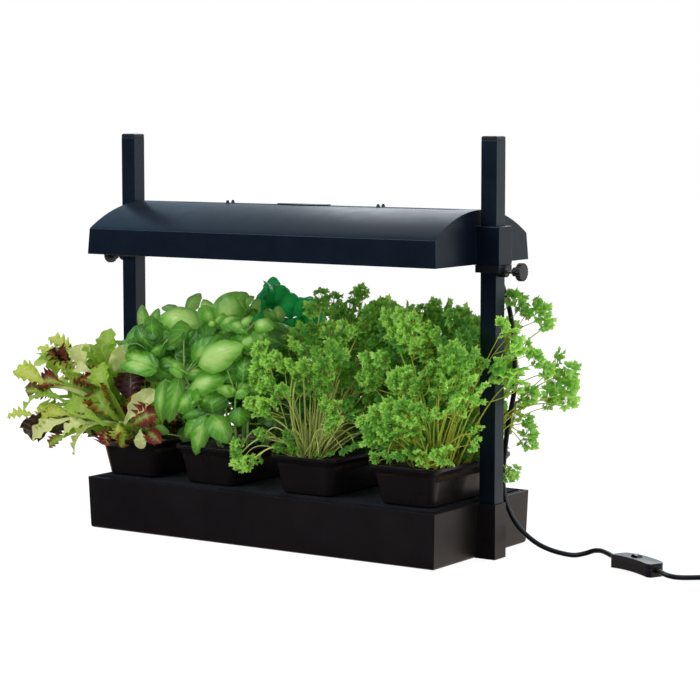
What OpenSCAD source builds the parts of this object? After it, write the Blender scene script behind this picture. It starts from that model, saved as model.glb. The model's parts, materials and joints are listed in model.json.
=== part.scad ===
// Countertop grow-light garden: a deep watering tray with two square posts, an arched hood that
// slides on the posts and carries one fluorescent lamp, two clamp collars with thumb screws,
// four planted troughs on a wick mat, and a mains lead with a rocker switch.
// Origin: centre of the tray's underside. X runs along the tray, Y to the back, Z up.

/* [Tray] */
// Length of the tray at its rim
tray_length = 604; // [580:1:660]
// Depth of the tray at its rim, front to back
tray_depth = 256; // [240:1:300]
// Height of the tray
tray_height = 76.5; // [65:0.5:90]
// Thickness of the tray's walls
tray_wall = 2.5; // [1.8:0.1:3]
// Thickness of the tray's floor
tray_floor = 2.5; // [1.8:0.1:4]
// How far each wall leans in from the rim to the base
tray_draft = 2.4; // [1:0.1:4]
// Radius of the edge between walls and floor
tray_edge = 4; // [3.2:0.2:6]

/* [Posts] */
// Width of the square posts
post_size = 24.5; // [20:0.5:30]
// Thickness of a post's wall
post_wall = 1.8; // [1.2:0.1:3]
// Height of the posts above the ground, caps included
post_top = 582; // [560:1:700]
// Gap between the tray's end and a post
post_gap = 0.75; // [0.5:0.05:2]
// Clearance around a post in its socket
socket_fit = 0.25; // [0.1:0.05:0.5]
// Thickness of the socket's walls
socket_wall = 2.45; // [2:0.05:4]
// Thickness of the socket's floor
socket_floor = 3; // [2:0.5:6]
// Height of the cap that closes a post
cap_height = 6; // [4:0.5:10]
// Depth of the cap's plug inside the post
cap_plug = 14; // [8:1:25]
// Clearance around the cap's plug
cap_fit = 0.1; // [0.05:0.05:0.3]
// Bevel of the cap's top edge
cap_bevel = 1.5; // [0.5:0.25:2.5]

/* [Hood] */
// Length of the hood at its lower edge
hood_length = 601; // [580:1:660]
// Least gap between the hood's end and a post
hood_gap = 2.25; // [1:0.25:4]
// Depth of the hood at its lower edge
hood_depth = 251; // [220:1:290]
// Height of the hood's lower edge above the ground
hood_bottom = 407; // [405:1:440]
// Height of the hood's straight side walls
hood_side = 37.6; // [30:0.2:50]
// Rise of the arched roof above the side walls
hood_arch = 37; // [34:0.5:50]
// Thickness of the hood's shell
hood_wall = 2.5; // [1.5:0.1:3.5]
// How far the side walls lean in over their height
hood_draft = 2.2; // [1:0.1:4]
// Height of the sleeve that slides on a post
sleeve_height = 52.5; // [44:0.5:56]
// Width of the sleeve, front to back
sleeve_width = 36; // [33:0.5:44]
// How far the sleeve reaches past the post's axis
sleeve_reach = 20; // [18:0.5:24]
// Thickness of the sleeve's walls
sleeve_wall = 2.5; // [1.5:0.1:3]
// Thickness of the sleeve's guide plates
guide_plate = 3; // [2:0.5:5]
// Clearance around a post in its guides
guide_fit = 0.4; // [0.2:0.05:0.8]
// Length of the blank oval plate on the roof
badge_length = 92; // [60:1:140]
// Width of the blank oval plate
badge_width = 30; // [16:1:44]
// Thickness of the blank oval plate
badge_thick = 1.5; // [0.8:0.1:2.5]

/* [Lamp] */
// Distance from the lamp's end to the hood's outer end
lamp_inset = 26; // [25.5:0.5:60]
// Diameter of the fluorescent tube
lamp_dia = 16; // [14:0.5:17]
// Thickness of a lamp holder along the tube
holder_thick = 11; // [8:0.5:12]
// Width of a lamp holder
holder_width = 24; // [20:1:30]
// Gap between the tube's cap and its holder
holder_gap = 1; // [0.5:0.1:2]
// Height of the lamp's ballast housing
housing_height = 28; // [24:1:30]
// Width of the ballast housing
housing_width = 46; // [40:1:60]
// Thickness of the ballast housing's sheet
housing_sheet = 1; // [0.8:0.1:2]
// Distance from the ballast housing down to the tube's axis
lamp_drop = 16; // [14:0.5:18]
// Distance from the reflector's end to the lamp's end
reflector_inset = 29.5; // [20:0.5:80]
// Width of the reflector
reflector_width = 190; // [140:2:200]
// Thickness of the reflector's sheet
reflector_sheet = 0.8; // [0.6:0.1:1.5]
// How far the reflector's wings drop from the housing
reflector_drop = 13; // [6:0.5:16]
// Distance from a clip's middle to the lamp's end
clip_inset = 142.5; // [80:0.5:200]
// Width of a clip along the lamp
clip_width = 14; // [10:0.5:24]
// Thickness of a clip's strip
clip_strip = 1.5; // [1:0.1:2.2]
// Diameter of a clip's snap prong
prong_dia = 4; // [3:0.2:5]
// Distance between a clip's two prongs
prong_pitch = 13; // [10:0.5:20]
// Height of a prong's head above the roof
prong_head = 4; // [2:0.5:6]

/* [Clamps] */
// Height of a clamp collar
collar_height = 10.5; // [8:0.5:16]
// Play between a collar and the sleeve above it
collar_play = 0.3; // [0.2:0.05:0.6]
// Diameter of the boss that holds the thumb screw
boss_dia = 16; // [14:0.5:20]
// How far the boss stands out of the collar
boss_length = 3; // [1:0.5:8]
// Height of the screw's axis below the hood's lower edge
screw_drop = 9; // [8.6:0.1:12]
// Diameter of the thumb screw's shank
screw_dia = 6; // [4:0.5:8]
// Running clearance of the screw in its insert
screw_fit = 0.05; // [0.02:0.01:0.1]
// Distance between boss and knob
screw_neck = 18.5; // [4:0.5:20]
// Gap between the screw's tip and the post
tip_gap = 0.1; // [0.05:0.05:0.3]
// Wall of the brass insert around the screw
insert_wall = 1.5; // [1:0.25:2.5]
// Diameter of the thumb screw's knob
knob_dia = 25; // [16:0.5:30]
// Thickness of the knob
knob_thick = 7.5; // [5:0.5:12]
// Length of the knob's hub, shorter where the boss is near
hub_length = 8; // [2:0.5:10]
// Number of grip ribs around the knob
knob_ribs = 18; // [8:1:24]

/* [Watering] */
// Height of the wick platform above the tray's floor
platform_rise = 73.5; // [60:0.5:80]
// Thickness of the platform's plate
platform_plate = 3; // [2:0.5:5]
// Gap between the platform and the tray's walls
platform_gap = 2; // [1:0.25:4]
// Distance between the platform's two long rails
rail_pitch = 160; // [120:2:200]
// Thickness of the rails
rail_thick = 3; // [2:0.5:5]
// Thickness of the wick mat
mat_thick = 2.5; // [1.5:0.25:4]
// Width of the mat's tail that hangs in the water
tail_width = 120; // [60:5:200]
// Margin of the mat inside the platform's edge
mat_margin = 4; // [3:0.5:8]

/* [Troughs] */
// Width of a trough at its rim
trough_width = 116; // [100:1:118]
// Depth of a trough at its rim, front to back
trough_depth = 216; // [180:1:230]
// Height of a trough
trough_height = 56; // [40:1:80]
// Height of the flared rim
rim_height = 12.5; // [8:0.5:16]
// How far the rim flares out of the body
rim_flare = 7; // [4:0.5:9]
// How far the body's walls lean in
trough_draft = 8; // [3:0.5:12]
// Corner radius of the rim
trough_corner = 20; // [15:1:24]
// Thickness of the trough's walls
trough_wall = 1.5; // [1:0.1:2]
// Depth of the compost's surface below the rim
compost_drop = 7; // [4:0.5:11]
// Clearance between compost and trough
compost_fit = 0.3; // [0.2:0.05:0.6]
// Diameter of the drain holes
drain_dia = 9; // [6:0.5:14]
// Number of drain holes in a trough
drain_count = 4; // [2:1:6]
// How far the troughs stand in front of the tray's middle line
trough_shift = 8; // [0:0.5:14]

/* [Plants] */
// Clearance between the foliage and anything it reaches around
leaf_gap = 1; // [0.5:0.1:3]
// Height of the tallest foliage above the troughs' rims
leaf_height = 239; // [160:1:243]

/* [Cord] */
// Diameter of the mains cord
cord_dia = 7; // [5:0.5:8]
// Mean diameter of the tied coil
coil_dia = 77; // [70:1:96]
// Number of turns side by side in the coil
coil_across = 2; // [1:1:3]
// Number of layers in the coil
coil_layers = 2; // [1:1:3]
// Width of the coil's tie
tie_width = 12; // [6:1:20]
// Thickness of the coil's tie
tie_thick = 1; // [0.6:0.1:2]
// Length of the strain relief at the lamp
gland_length = 24; // [20:1:30]

/* [Switch] */
// Length of the inline switch
switch_length = 86; // [70:1:100]
// Width of the inline switch
switch_width = 27; // [24:0.5:34]
// Height of the switch's case
switch_height = 18; // [16:0.5:22]
// Rise of the switch's arched case at its middle
switch_arch = 2.5; // [1:0.25:4]
// Thickness of the switch's shells
switch_wall = 2; // [1.5:0.1:2.4]
// Height of the lower shell
switch_seam = 11; // [9:0.5:12]
// Radius of the rocker's round body
rocker_radius = 8; // [6:0.25:9]
// Width of the rocker
rocker_width = 9; // [7:0.5:11]
// How far the rocker stands out of the case
rocker_rise = 4; // [2:0.25:5]
// Gap around the rocker in its window
rocker_gap = 0.4; // [0.2:0.05:0.8]
// Tilt of the pressed rocker
rocker_tilt = 9; // [4:1:14]

/* [Plug] */
// Length of the plug's body
plug_length = 34; // [28:1:50]
// Width of the plug's body
plug_width = 26; // [24:1:34]
// Height of the plug's body
plug_height = 22; // [20:1:28]
// Length of the plug's strain relief
plug_neck = 24; // [20:1:40]
// Distance between the two flat blades
blade_pitch = 12.7; // [12:0.1:14]
// Length of the flat blades
blade_length = 16; // [12:0.5:20]

/* [Hidden] */
$fn = 48;

// A cut this deep always passes through what it cuts
eps = 0.01;
far = 1000;

// The posts clear both the tray's ends and the hood's
post_x = max(tray_length / 2 + post_gap, hood_length / 2 + hood_gap) + post_size / 2;
socket_half = post_size / 2 + socket_fit + socket_wall;
floor_z = tray_floor;
platform_z = floor_z + platform_rise;
mat_z = platform_z + mat_thick;
rim_z = mat_z + trough_height;
compost_z = rim_z - compost_drop;
body_width = trough_width - 2 * rim_flare;
body_depth = trough_depth - 2 * rim_flare;
inner_length = tray_length - 2 * (tray_wall + tray_draft + platform_gap);
inner_depth = tray_depth - 2 * (tray_wall + tray_draft + platform_gap);
notch_pitch = inner_length / 6;
notch_height = platform_rise / 9;
mat_length = inner_length - 2 * mat_margin;
mat_depth = inner_depth - 2 * mat_margin;
tail_y = mat_depth / 2 - mat_thick;

// Middle of each trough as a share of the tray's length, as the troughs stand by hand
trough_xs = [for (s = [-0.402, -0.162, 0.119, 0.394]) s * tray_length];
// Borders between neighbouring plants, as shares of the tray's length
leaf_borders = [for (s = [-0.2765, -0.038, 0.2335]) s * tray_length];
// Growth of the plants against the sizes that their crowns are written in
grow = leaf_height / 239;
// Depth at which the basil ends and the mint behind it begins
mint_y = 41 * grow;

hood_shoulder = hood_bottom + hood_side;
hood_crest = hood_shoulder + hood_arch;
arch_half = hood_depth / 2 - hood_draft;
arch_radius = (arch_half * arch_half + hood_arch * hood_arch) / (2 * hood_arch);
sleeve_half = sleeve_width / 2;
sleeve_top = hood_bottom + sleeve_height;
guide_half = post_size / 2 + guide_fit;
housing_top = hood_crest - hood_wall - 2 * clip_strip - 0.4;
housing_bottom = housing_top - housing_height;
lamp_z = housing_bottom - lamp_drop;
lamp_length = hood_length - 2 * lamp_inset;
reflector_length = lamp_length - 2 * reflector_inset;
clip_pitch = lamp_length - 2 * clip_inset;
lamp_cap = 12;
pin_length = 7;
pin_pitch = 5;
pin_dia = 2.4;
pin_pocket = pin_pitch / 2 + pin_dia / 2 + 0.5;
holder_below = 12;
ballast_length = 200;
ballast_width = 32;
ballast_height = 20;
holder_x = lamp_length / 2 + holder_gap;
housing_length = 2 * (holder_x + holder_thick + 1);
gland_x = housing_length / 2 - 17.5;
gland_z = housing_top - 17.7;
gland_stem = 5;

collar_top = hood_bottom - collar_play;
screw_z = hood_bottom - screw_drop;
boss_end = post_x + sleeve_reach + boss_length;
tip_x = post_x + post_size / 2 + tip_gap;
knob_x = boss_end + screw_neck;
knob_hub = min(hub_length, screw_neck - 2);
insert_dia = screw_dia + 2 * (screw_fit + insert_wall);
insert_length = 8;
knob_grip = 4;
collar_back = hood_length / 2 - 3;

// Places along the lead count X from the right post's axis
function from_post(list) = [for (p = list) [post_x + p[0], p[1], p[2]]];

// The lamp's lead: out of the strain relief, under the hood's edge, down behind the right post,
// along the tray's end and over the ground to the switch
route = from_post([
  [-45, 47, 458], [-45, 57, 458], [-45, 67, 452], [-44, 73, 441], [-43, 75, 429], [-40, 74, 414],
  [-35, 72, 397], [-27, 69, 380], [-18, 65, 363], [-9, 60, 346], [-2, 55, 329], [4, 50, 311],
  [8, 47, 292], [10, 45, 272], [11, 44, 250], [10, 44, 228], [6, 44, 207], [1, 45, 186],
  [-2, 45, 165], [-5, 46, 144], [-7, 46, 124], [-8, 46, 104], [-6, 46, 84], [-1, 46, 68],
  [7, 46, 52], [18, 46, 38], [31, 48, 26], [46, 51, 16], [63, 55, 9], [81, 59, 5],
  [98, 62, 4], [114, 64, 8], [127, 63, 13], [140, 59, 15], [153, 52, 14.3], [164, 46.4, 12.5],
  [173.9, 41.6, 11]
]);
// Its upper part follows the strain relief's mouth
gland_mouth = [gland_x, housing_width / 2 + gland_length, gland_z];
follow = 14;
DROP = [for (i = [0 : len(route) - 1]) route[i] + max(0, 1 - i / follow) * (gland_mouth - route[0])];
// From the switch over the ground to the tied coil
LEAD = from_post([
  [252.1, 4.3, 9], [261, 0, 8], [271, -3, 6], [282, -1, 4.4], [293, 6, 3.8], [307, 15.5, 4],
  [320, 24.5, 4.3], [333, 33, 4.5]
]);
// From the coil's upper turns to the plug
END = from_post([[342.4, 42.5, 11.6], [346.3, 51, 11.4], [349, 60, 11], [349, 68, 11]]);
// Room behind the right post that the leaves leave to the lead
lead_room = 30;
lead_depth = 80;

switch_x = post_x + 213;
switch_y = 23;
switch_turn = -25.5;
case_radius = (pow(switch_length / 2, 2) + pow(switch_arch, 2)) / (2 * switch_arch);
case_top = switch_arch + switch_height;
case_post = 3;
case_screw = 1.2;
case_head = 2.4;
rocker_z = case_top + rocker_rise - rocker_radius;
pivot_radius = 1.5;
pivot_fit = 0.05;
pivot_lug = 2;
coil_x = post_x + 371;
coil_y = 8;
coil_in = coil_dia / 2 - coil_across * cord_dia / 2;
coil_out = coil_dia / 2 + coil_across * cord_dia / 2;
coil_base = tie_thick;
coil_top = coil_base + coil_layers * cord_dia;
plug_x = post_x + 349;
plug_y = 68;

// ---------- Shared shapes ----------

// Rounded rectangle with exact corners, centred
module round_rect(w, d, r) {
  square([w - 2 * r, d], center = true);
  square([w, d - 2 * r], center = true);
  for (sx = [-1, 1], sy = [-1, 1]) {
    translate([sx * (w / 2 - r), sy * (d / 2 - r)]) circle(r = r);
  }
}

// Side view of a wall pair that leans in by draft over the height, with round lower edges
function lean_profile(half, h, draft, r) = concat(
  [[half, h]],
  [for (i = [0 : 4]) [half - draft - r + r * cos(i * 22.5), r - r * sin(i * 22.5)]],
  [for (i = [4 : -1 : 0]) [-(half - draft - r + r * cos(i * 22.5)), r - r * sin(i * 22.5)]],
  [[-half, h]]
);

// Box whose four walls lean in towards the base
module lean_box(l, d, h, draft, r) {
  intersection() {
    rotate([90, 0, 0])
      linear_extrude(height = far, center = true) polygon(lean_profile(l / 2, h, draft, r));
    rotate([90, 0, 90])
      linear_extrude(height = far, center = true) polygon(lean_profile(d / 2, h, draft, r));
  }
}

// Thin rounded slab, one level of a hull
module slab(w, d, r, z) {
  translate([0, 0, z]) linear_extrude(height = eps) round_rect(w, d, r, $fn = 32);
}

module cylinder_x(r, l, x, z) {
  translate([x, 0, z]) rotate([0, 90, 0]) cylinder(r = r, h = l);
}

module box_between(a, b) {
  translate(a) cube(b - a);
}

// ---------- Cord sweep ----------

function unit(v) = v / norm(v);
function heading(p, i) = unit(p[min(i + 1, len(p) - 1)] - p[max(i - 1, 0)]);
function side_of(t) = unit(cross(t, [-0.5, 0.5, 0.7]));
function ring(p, i, r, n) =
  let (t = heading(p, i), u = side_of(t), w = cross(t, u))
  [for (k = [0 : n - 1]) p[i] + r * (cos(360 * k / n) * u + sin(360 * k / n) * w)];

// Two triangles between neighbouring rings that start at points a and b
function quad(a, b, k, next) = [[a + k, b + k, b + next], [a + k, b + next, a + next]];

// Round tube along the points of a route
module sweep(p, r, n) {
  m = len(p);
  polyhedron(
    points = [for (i = [0 : m - 1]) each ring(p, i, r, n)],
    faces = concat(
      [[for (k = [0 : n - 1]) k]],
      [for (i = [0 : m - 2], k = [0 : n - 1]) each quad(i * n, (i + 1) * n, k, (k + 1) % n)],
      [[for (k = [n - 1 : -1 : 0]) (m - 1) * n + k]]
    )
  );
}

// ---------- Tray and watering ----------

module socket_block(side) {
  translate([side * post_x, 0, 0]) mirror([side < 0 ? 1 : 0, 0, 0])
    box_between([tray_length / 2 - tray_wall - tray_draft - post_x, -socket_half, 0],
                [socket_half, socket_half, tray_height]);
}

module tray() {
  color("#14151a") difference() {
    union() {
      lean_box(tray_length, tray_depth, tray_height, tray_draft, tray_edge);
      socket_block(-1);
      socket_block(1);
    }
    intersection() {
      translate([0, 0, tray_floor])
        lean_box(tray_length - 2 * tray_wall, tray_depth - 2 * tray_wall,
                 tray_height - tray_floor + eps, tray_draft, tray_edge - tray_wall);
      translate([0, 0, tray_height])
        cube([tray_length, tray_depth, 2 * tray_height], center = true);
    }
    for (side = [-1, 1]) {
      translate([side * post_x, 0, socket_floor + tray_height])
        cube([post_size + 2 * socket_fit, post_size + 2 * socket_fit, 2 * tray_height],
             center = true);
    }
  }
}

// Plate on two notched rails; the mat's tail passes behind its back edge
module platform() {
  color("#1b1c20") difference() {
    union() {
      translate([0, 0, platform_z - platform_plate / 2])
        cube([inner_length, inner_depth, platform_plate], center = true);
      for (side = [-1, 1]) {
        translate([0, side * rail_pitch / 2, floor_z + platform_rise / 2 - platform_plate / 2])
          cube([0.95 * inner_length, rail_thick, platform_rise - platform_plate], center = true);
      }
    }
    for (i = [-2 : 2]) {
      translate([i * notch_pitch, 0, floor_z])
        cube([0.6 * notch_pitch, tray_depth, 2 * notch_height], center = true);
    }
    translate([0, inner_depth / 2, platform_z])
      cube([tail_width + 4, 4 * mat_margin + 2 * mat_thick, 3 * platform_plate], center = true);
  }
}

module wick_mat() {
  color("#202226") {
    translate([0, 0, platform_z + mat_thick / 2]) cube([mat_length, mat_depth, mat_thick], center = true);
    box_between([-tail_width / 2, tail_y, floor_z + 1],
                [tail_width / 2, tail_y + mat_thick, platform_z]);
  }
}

// ---------- Troughs and compost ----------

module trough_solid(inset, top) {
  low_w = body_width - 2 * trough_draft - 2 * inset;
  low_d = body_depth - 2 * trough_draft - 2 * inset;
  hull() {
    slab(low_w - 6, low_d - 6, trough_corner - 11, inset);
    slab(low_w, low_d, trough_corner - 8, inset + 3);
    slab(body_width - 2 * inset, body_depth - 2 * inset, trough_corner - 4, top - rim_height);
  }
  hull() {
    slab(body_width - 2 * inset, body_depth - 2 * inset, trough_corner - 4, top - rim_height);
    slab(trough_width - 2 * inset, trough_depth - 2 * inset, trough_corner, top - rim_height / 3);
    slab(trough_width - 2 * inset, trough_depth - 2 * inset, trough_corner, top - eps);
  }
}

module trough(i) {
  color("#17161a") translate([trough_xs[i], -trough_shift, mat_z]) difference() {
    trough_solid(0, trough_height);
    trough_solid(trough_wall, trough_height + eps);
    for (k = [0 : drain_count - 1]) {
      translate([0, (k - (drain_count - 1) / 2) * 38, -1]) cylinder(d = drain_dia, h = 6);
    }
  }
}

module compost(i) {
  color("#2a2019") translate([trough_xs[i], -trough_shift, mat_z]) intersection() {
    trough_solid(trough_wall + compost_fit, trough_height);
    translate([-trough_width, -trough_depth, 0])
      cube([2 * trough_width, 2 * trough_depth, trough_height - compost_drop]);
  }
}

// ---------- Plants ----------

// Stems between a trough's compost and the crown above its rim
module stems(i) {
  translate([trough_xs[i], -trough_shift, compost_z]) linear_extrude(height = compost_drop + 4)
    round_rect(trough_width - 24, trough_depth - 24, 12, $fn = 24);
}

// Hull of round lumps in trough i, each given as [x, y, z, radius] from the trough's middle,
// the tray's middle line and the rim
module lumps(i, list) {
  hull() {
    for (b = list) {
      translate([trough_xs[i] + grow * b[0], grow * b[1], rim_z + grow * b[2]])
        sphere(r = grow * b[3], $fn = 12);
    }
  }
}

// Space kept free for the posts and the lead that passes behind the right one
module keep_clear() {
  for (side = [-1, 1]) {
    translate([side * post_x, 0, rim_z])
      cube([post_size + 2 * leaf_gap, post_size + 2 * leaf_gap, far], center = true);
  }
  box_between([post_x - post_size / 2 - leaf_gap, 0, 0], [post_x + lead_room, lead_depth, hood_bottom]);
}

// Only what lies above the rims and between the borders with the neighbours
module leaf_room(i, y0, y1) {
  x0 = i == 0 ? -far : leaf_borders[i - 1] + leaf_gap;
  x1 = i == len(leaf_borders) ? far : leaf_borders[i] - leaf_gap;
  intersection() {
    children();
    box_between([x0, y0, rim_z + leaf_gap], [x1, y1, rim_z + leaf_height]);
  }
}

module lettuce() {
  color("#9bb04a") union() {
    difference() {
      leaf_room(0, -far, far) {
        lumps(0, [[-62, -80, 30, 36], [38, -80, 30, 36], [-70, -45, 110, 32], [42, -42, 130, 32],
                  [-45, 28, 40, 36], [36, 30, 40, 36], [-10, 15, 110, 32]]);
        lumps(0, [[-62, -80, 30, 36], [-195, -90, 28, 28], [-195, -68, 92, 24], [-120, -52, 105, 28],
                  [-70, -45, 110, 32]]);
      }
      keep_clear();
    }
    stems(0);
  }
}

module basil() {
  color("#5f9e2f") union() {
    leaf_room(1, -far, mint_y - leaf_gap) {
      lumps(1, [[-27, -65, 38, 42], [33, -65, 38, 42], [-22, -70, 180, 40], [23, -40, 195, 40],
                [-57, -60, 120, 40], [48, 0, 140, 40], [-2, 20, 40, 42]]);
    }
    intersection() {
      stems(1);
      box_between([-far, -far, 0], [far, mint_y - 2 * leaf_gap, far]);
    }
  }
}

module mint() {
  color("#1f6b45") union() {
    leaf_room(1, mint_y + leaf_gap, far) {
      lumps(1, [[-16, 72, 26, 30], [32, 72, 26, 30], [-16, 78, 195, 32], [48, 75, 200, 32]]);
    }
    intersection() {
      stems(1);
      box_between([-far, mint_y + 2 * leaf_gap, 0], [far, far, far]);
    }
  }
}

module coriander() {
  color("#7db53c") union() {
    leaf_room(2, -far, far) {
      lumps(2, [[-62, -88, 25, 32], [40, -80, 35, 36], [-66, -58, 120, 34], [10, -48, 150, 34],
                [28, -25, 205, 32], [45, 40, 205, 32], [-20, 45, 140, 34], [-35, 30, 40, 34],
                [36, 40, 50, 34]]);
    }
    stems(2);
  }
}

module parsley() {
  color("#6fae35") union() {
    difference() {
      leaf_room(3, -far, far) {
        lumps(3, [[-38, -80, 35, 40], [36, -85, 35, 42], [-35, -60, 95, 40], [45, -62, 105, 38],
                  [-55, -30, 180, 34], [-20, -8, 202, 32], [50, -20, 160, 34], [-45, 55, 150, 36],
                  [50, 60, 140, 38], [-38, 45, 40, 36], [45, 45, 40, 36]]);
        lumps(3, [[50, -60, 105, 30], [95, -45, 150, 24], [130, -28, 185, 26]]);
        lumps(3, [[50, 70, 120, 34], [138, 90, 100, 24], [100, 62, 205, 28], [100, 80, 60, 22]]);
      }
      keep_clear();
    }
    stems(3);
  }
}

// ---------- Posts ----------

module post(side) {
  color("#15171c") translate([side * post_x, 0, 0]) difference() {
    translate([0, 0, (socket_floor + post_top - cap_height) / 2])
      cube([post_size, post_size, post_top - cap_height - socket_floor], center = true);
    cube([post_size - 2 * post_wall, post_size - 2 * post_wall, 2 * post_top], center = true);
  }
}

module post_cap(side) {
  plug = post_size - 2 * (post_wall + cap_fit);
  color("#1d1f25") translate([side * post_x, 0, post_top]) {
    intersection() {
      bevel_bar(0);
      bevel_bar(90);
    }
    translate([0, 0, -cap_height - cap_plug / 2]) cube([plug, plug, cap_plug], center = true);
  }
}

// Bar with bevelled top edges, used twice to bevel all four sides of a cap
module bevel_bar(turn) {
  h = post_size / 2;
  rotate([90, 0, turn]) linear_extrude(height = 2 * post_size, center = true)
    polygon([[-h, -cap_height], [h, -cap_height], [h, -cap_bevel], [h - cap_bevel, 0],
             [cap_bevel - h, 0], [-h, -cap_bevel]]);
}

// ---------- Hood ----------

// Half the hood's depth or length at height z, given its value at the lower edge
function hood_half(low, z) = low - hood_draft * (z - hood_bottom) / hood_side;
// Height of the arched roof's face at distance y from its crest, t inside the outer face
function roof_z(y, t) =
  hood_crest - arch_radius + sqrt(pow(arch_radius - t, 2) - y * y);

// Cross-section of the hood, t inside its outer face and reaching down to low_z
module hood_section(t, low_z) {
  low = hood_half(hood_depth / 2, low_z) - t;
  high = arch_half - t;
  polygon([[-low, low_z], [low, low_z], [high, hood_shoulder], [-high, hood_shoulder]]);
  intersection() {
    translate([0, hood_crest - arch_radius]) circle(r = arch_radius - t, $fn = 180);
    translate([-high, hood_shoulder - 1]) square([2 * high, hood_arch + 2]);
  }
}

module hood_form(t, low_z) {
  low = hood_half(hood_length / 2, low_z) - t;
  high = hood_half(hood_length / 2, hood_crest) - t;
  intersection() {
    rotate([90, 0, 90]) linear_extrude(height = far, center = true) hood_section(t, low_z);
    rotate([90, 0, 0]) linear_extrude(height = far, center = true)
      polygon([[-low, low_z], [low, low_z], [high, hood_crest + 1], [-high, hood_crest + 1]]);
  }
}

// Guide plates inside a sleeve, and the square the post passes through in its top
module sleeve_guides() {
  wall_x = sleeve_reach - sleeve_wall;
  wall_y = sleeve_half - sleeve_wall;
  for (s = [-1, 1]) {
    box_between([guide_half, s * 6 - 1, hood_bottom], [wall_x, s * 6 + 1, sleeve_top - guide_plate]);
    for (t = [-1, 1]) {
      translate([s * 6, t * (guide_half + wall_y) / 2, (hood_bottom + sleeve_top - guide_plate) / 2])
        cube([2, wall_y - guide_half, sleeve_height - guide_plate], center = true);
    }
  }
}

module sleeve_hollow() {
  box_between([-guide_half, sleeve_wall - sleeve_half, hood_bottom - 1],
              [sleeve_reach - sleeve_wall, sleeve_half - sleeve_wall, sleeve_top - guide_plate]);
  translate([0, 0, hood_bottom]) cube([2 * guide_half, 2 * guide_half, far], center = true);
}

// Places something made for the right end at either end
module at_post(side) {
  mirror([side < 0 ? 1 : 0, 0, 0]) translate([post_x, 0, 0]) children();
}

module hood() {
  color("#1c2026") {
    difference() {
      union() {
        hood_form(0, hood_bottom);
        for (side = [-1, 1]) at_post(side) {
          box_between([hood_length / 2 - 8 - post_x, -sleeve_half, hood_bottom],
                      [sleeve_reach, sleeve_half, sleeve_top]);
        }
      }
      hood_form(hood_wall, hood_bottom - 1);
      for (side = [-1, 1]) at_post(side) sleeve_hollow();
      for (sx = [-1, 1], sy = [-1, 1]) {
        translate([sx * clip_pitch / 2, sy * prong_pitch / 2, hood_crest])
          cylinder(d = prong_dia + 0.2, h = 20, center = true);
      }
    }
    for (side = [-1, 1]) at_post(side) sleeve_guides();
  }
}

// Blank oval plate that follows the roof's arch
module badge() {
  color("#0f1114") intersection() {
    translate([0, 0, hood_shoulder]) linear_extrude(height = far) polygon(
      [for (a = [0 : 6 : 354]) [badge_length / 2 * cos(a), badge_width / 2 * sin(a)]]);
    rotate([90, 0, 90]) linear_extrude(height = badge_length, center = true) difference() {
      translate([0, hood_crest - arch_radius]) circle(r = arch_radius + badge_thick, $fn = 180);
      translate([0, hood_crest - arch_radius]) circle(r = arch_radius, $fn = 180);
    }
  }
}

// ---------- Lamp ----------

module ballast_housing() {
  color("#e8e8e4") difference() {
    box_between([-housing_length / 2, -housing_width / 2, housing_bottom],
                [housing_length / 2, housing_width / 2, housing_top]);
    box_between([housing_sheet - housing_length / 2, housing_sheet - housing_width / 2,
                 housing_bottom - 1],
                [housing_length / 2 - housing_sheet, housing_width / 2 - housing_sheet,
                 housing_top - housing_sheet]);
    translate([gland_x, 0, gland_z]) rotate([-90, 0, 0]) cylinder(r = gland_stem + 0.05, h = far);
  }
}

module ballast() {
  color("#b9bcc0") translate([-60, 0, housing_top - housing_sheet - ballast_height / 2])
    cube([ballast_length, ballast_width, ballast_height], center = true);
}

// Bent sheet: a flat middle that closes the housing, and two wings that slope down
module reflector() {
  half = housing_width / 2;
  wing = reflector_width / 2;
  color("#f4f4f0") difference() {
    union() {
      translate([0, 0, housing_bottom - reflector_sheet / 2])
        cube([2 * (holder_x - 2), housing_width, reflector_sheet], center = true);
      rotate([90, 0, 90]) linear_extrude(height = reflector_length, center = true)
        translate([0, housing_bottom]) polygon([
          [half, 0], [wing, -reflector_drop], [wing, -reflector_drop - reflector_sheet],
          [half, -reflector_sheet], [-half, -reflector_sheet], [-wing, -reflector_drop - reflector_sheet],
          [-wing, -reflector_drop], [-half, 0]]);
    }
    for (sx = [-1, 1], sy = [-1, 1]) {
      translate([sx * clip_pitch / 2, sy * (half - 1), housing_bottom])
        cube([clip_width + 1, 6 + 2 * clip_strip, 12], center = true);
    }
  }
}

// Holder with a round pocket for the pins and a slot to slide them in from below
module lamp_holder(side) {
  color("#eeeeea") mirror([side < 0 ? 1 : 0, 0, 0]) difference() {
    box_between([holder_x, -holder_width / 2, lamp_z - holder_below],
                [holder_x + holder_thick, holder_width / 2, housing_bottom]);
    cylinder_x(pin_pocket, pin_length + 0.5, holder_x - eps, lamp_z);
    box_between([holder_x - eps, -pin_dia, lamp_z - 2 * holder_below],
                [holder_x + pin_length + 0.5, pin_dia, lamp_z]);
  }
}

module lamp_tube() {
  color("#fbf9f0") cylinder_x(lamp_dia / 2, lamp_length - 2 * lamp_cap, lamp_cap - lamp_length / 2, lamp_z);
}

module lamp_cap(side) {
  color("#c9ccd0") mirror([side < 0 ? 1 : 0, 0, 0]) {
    cylinder_x(lamp_dia / 2, lamp_cap, lamp_length / 2 - lamp_cap, lamp_z);
    for (s = [-1, 1]) {
      cylinder_x(pin_dia / 2, pin_length, lamp_length / 2, lamp_z + s * pin_pitch / 2);
    }
  }
}

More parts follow.
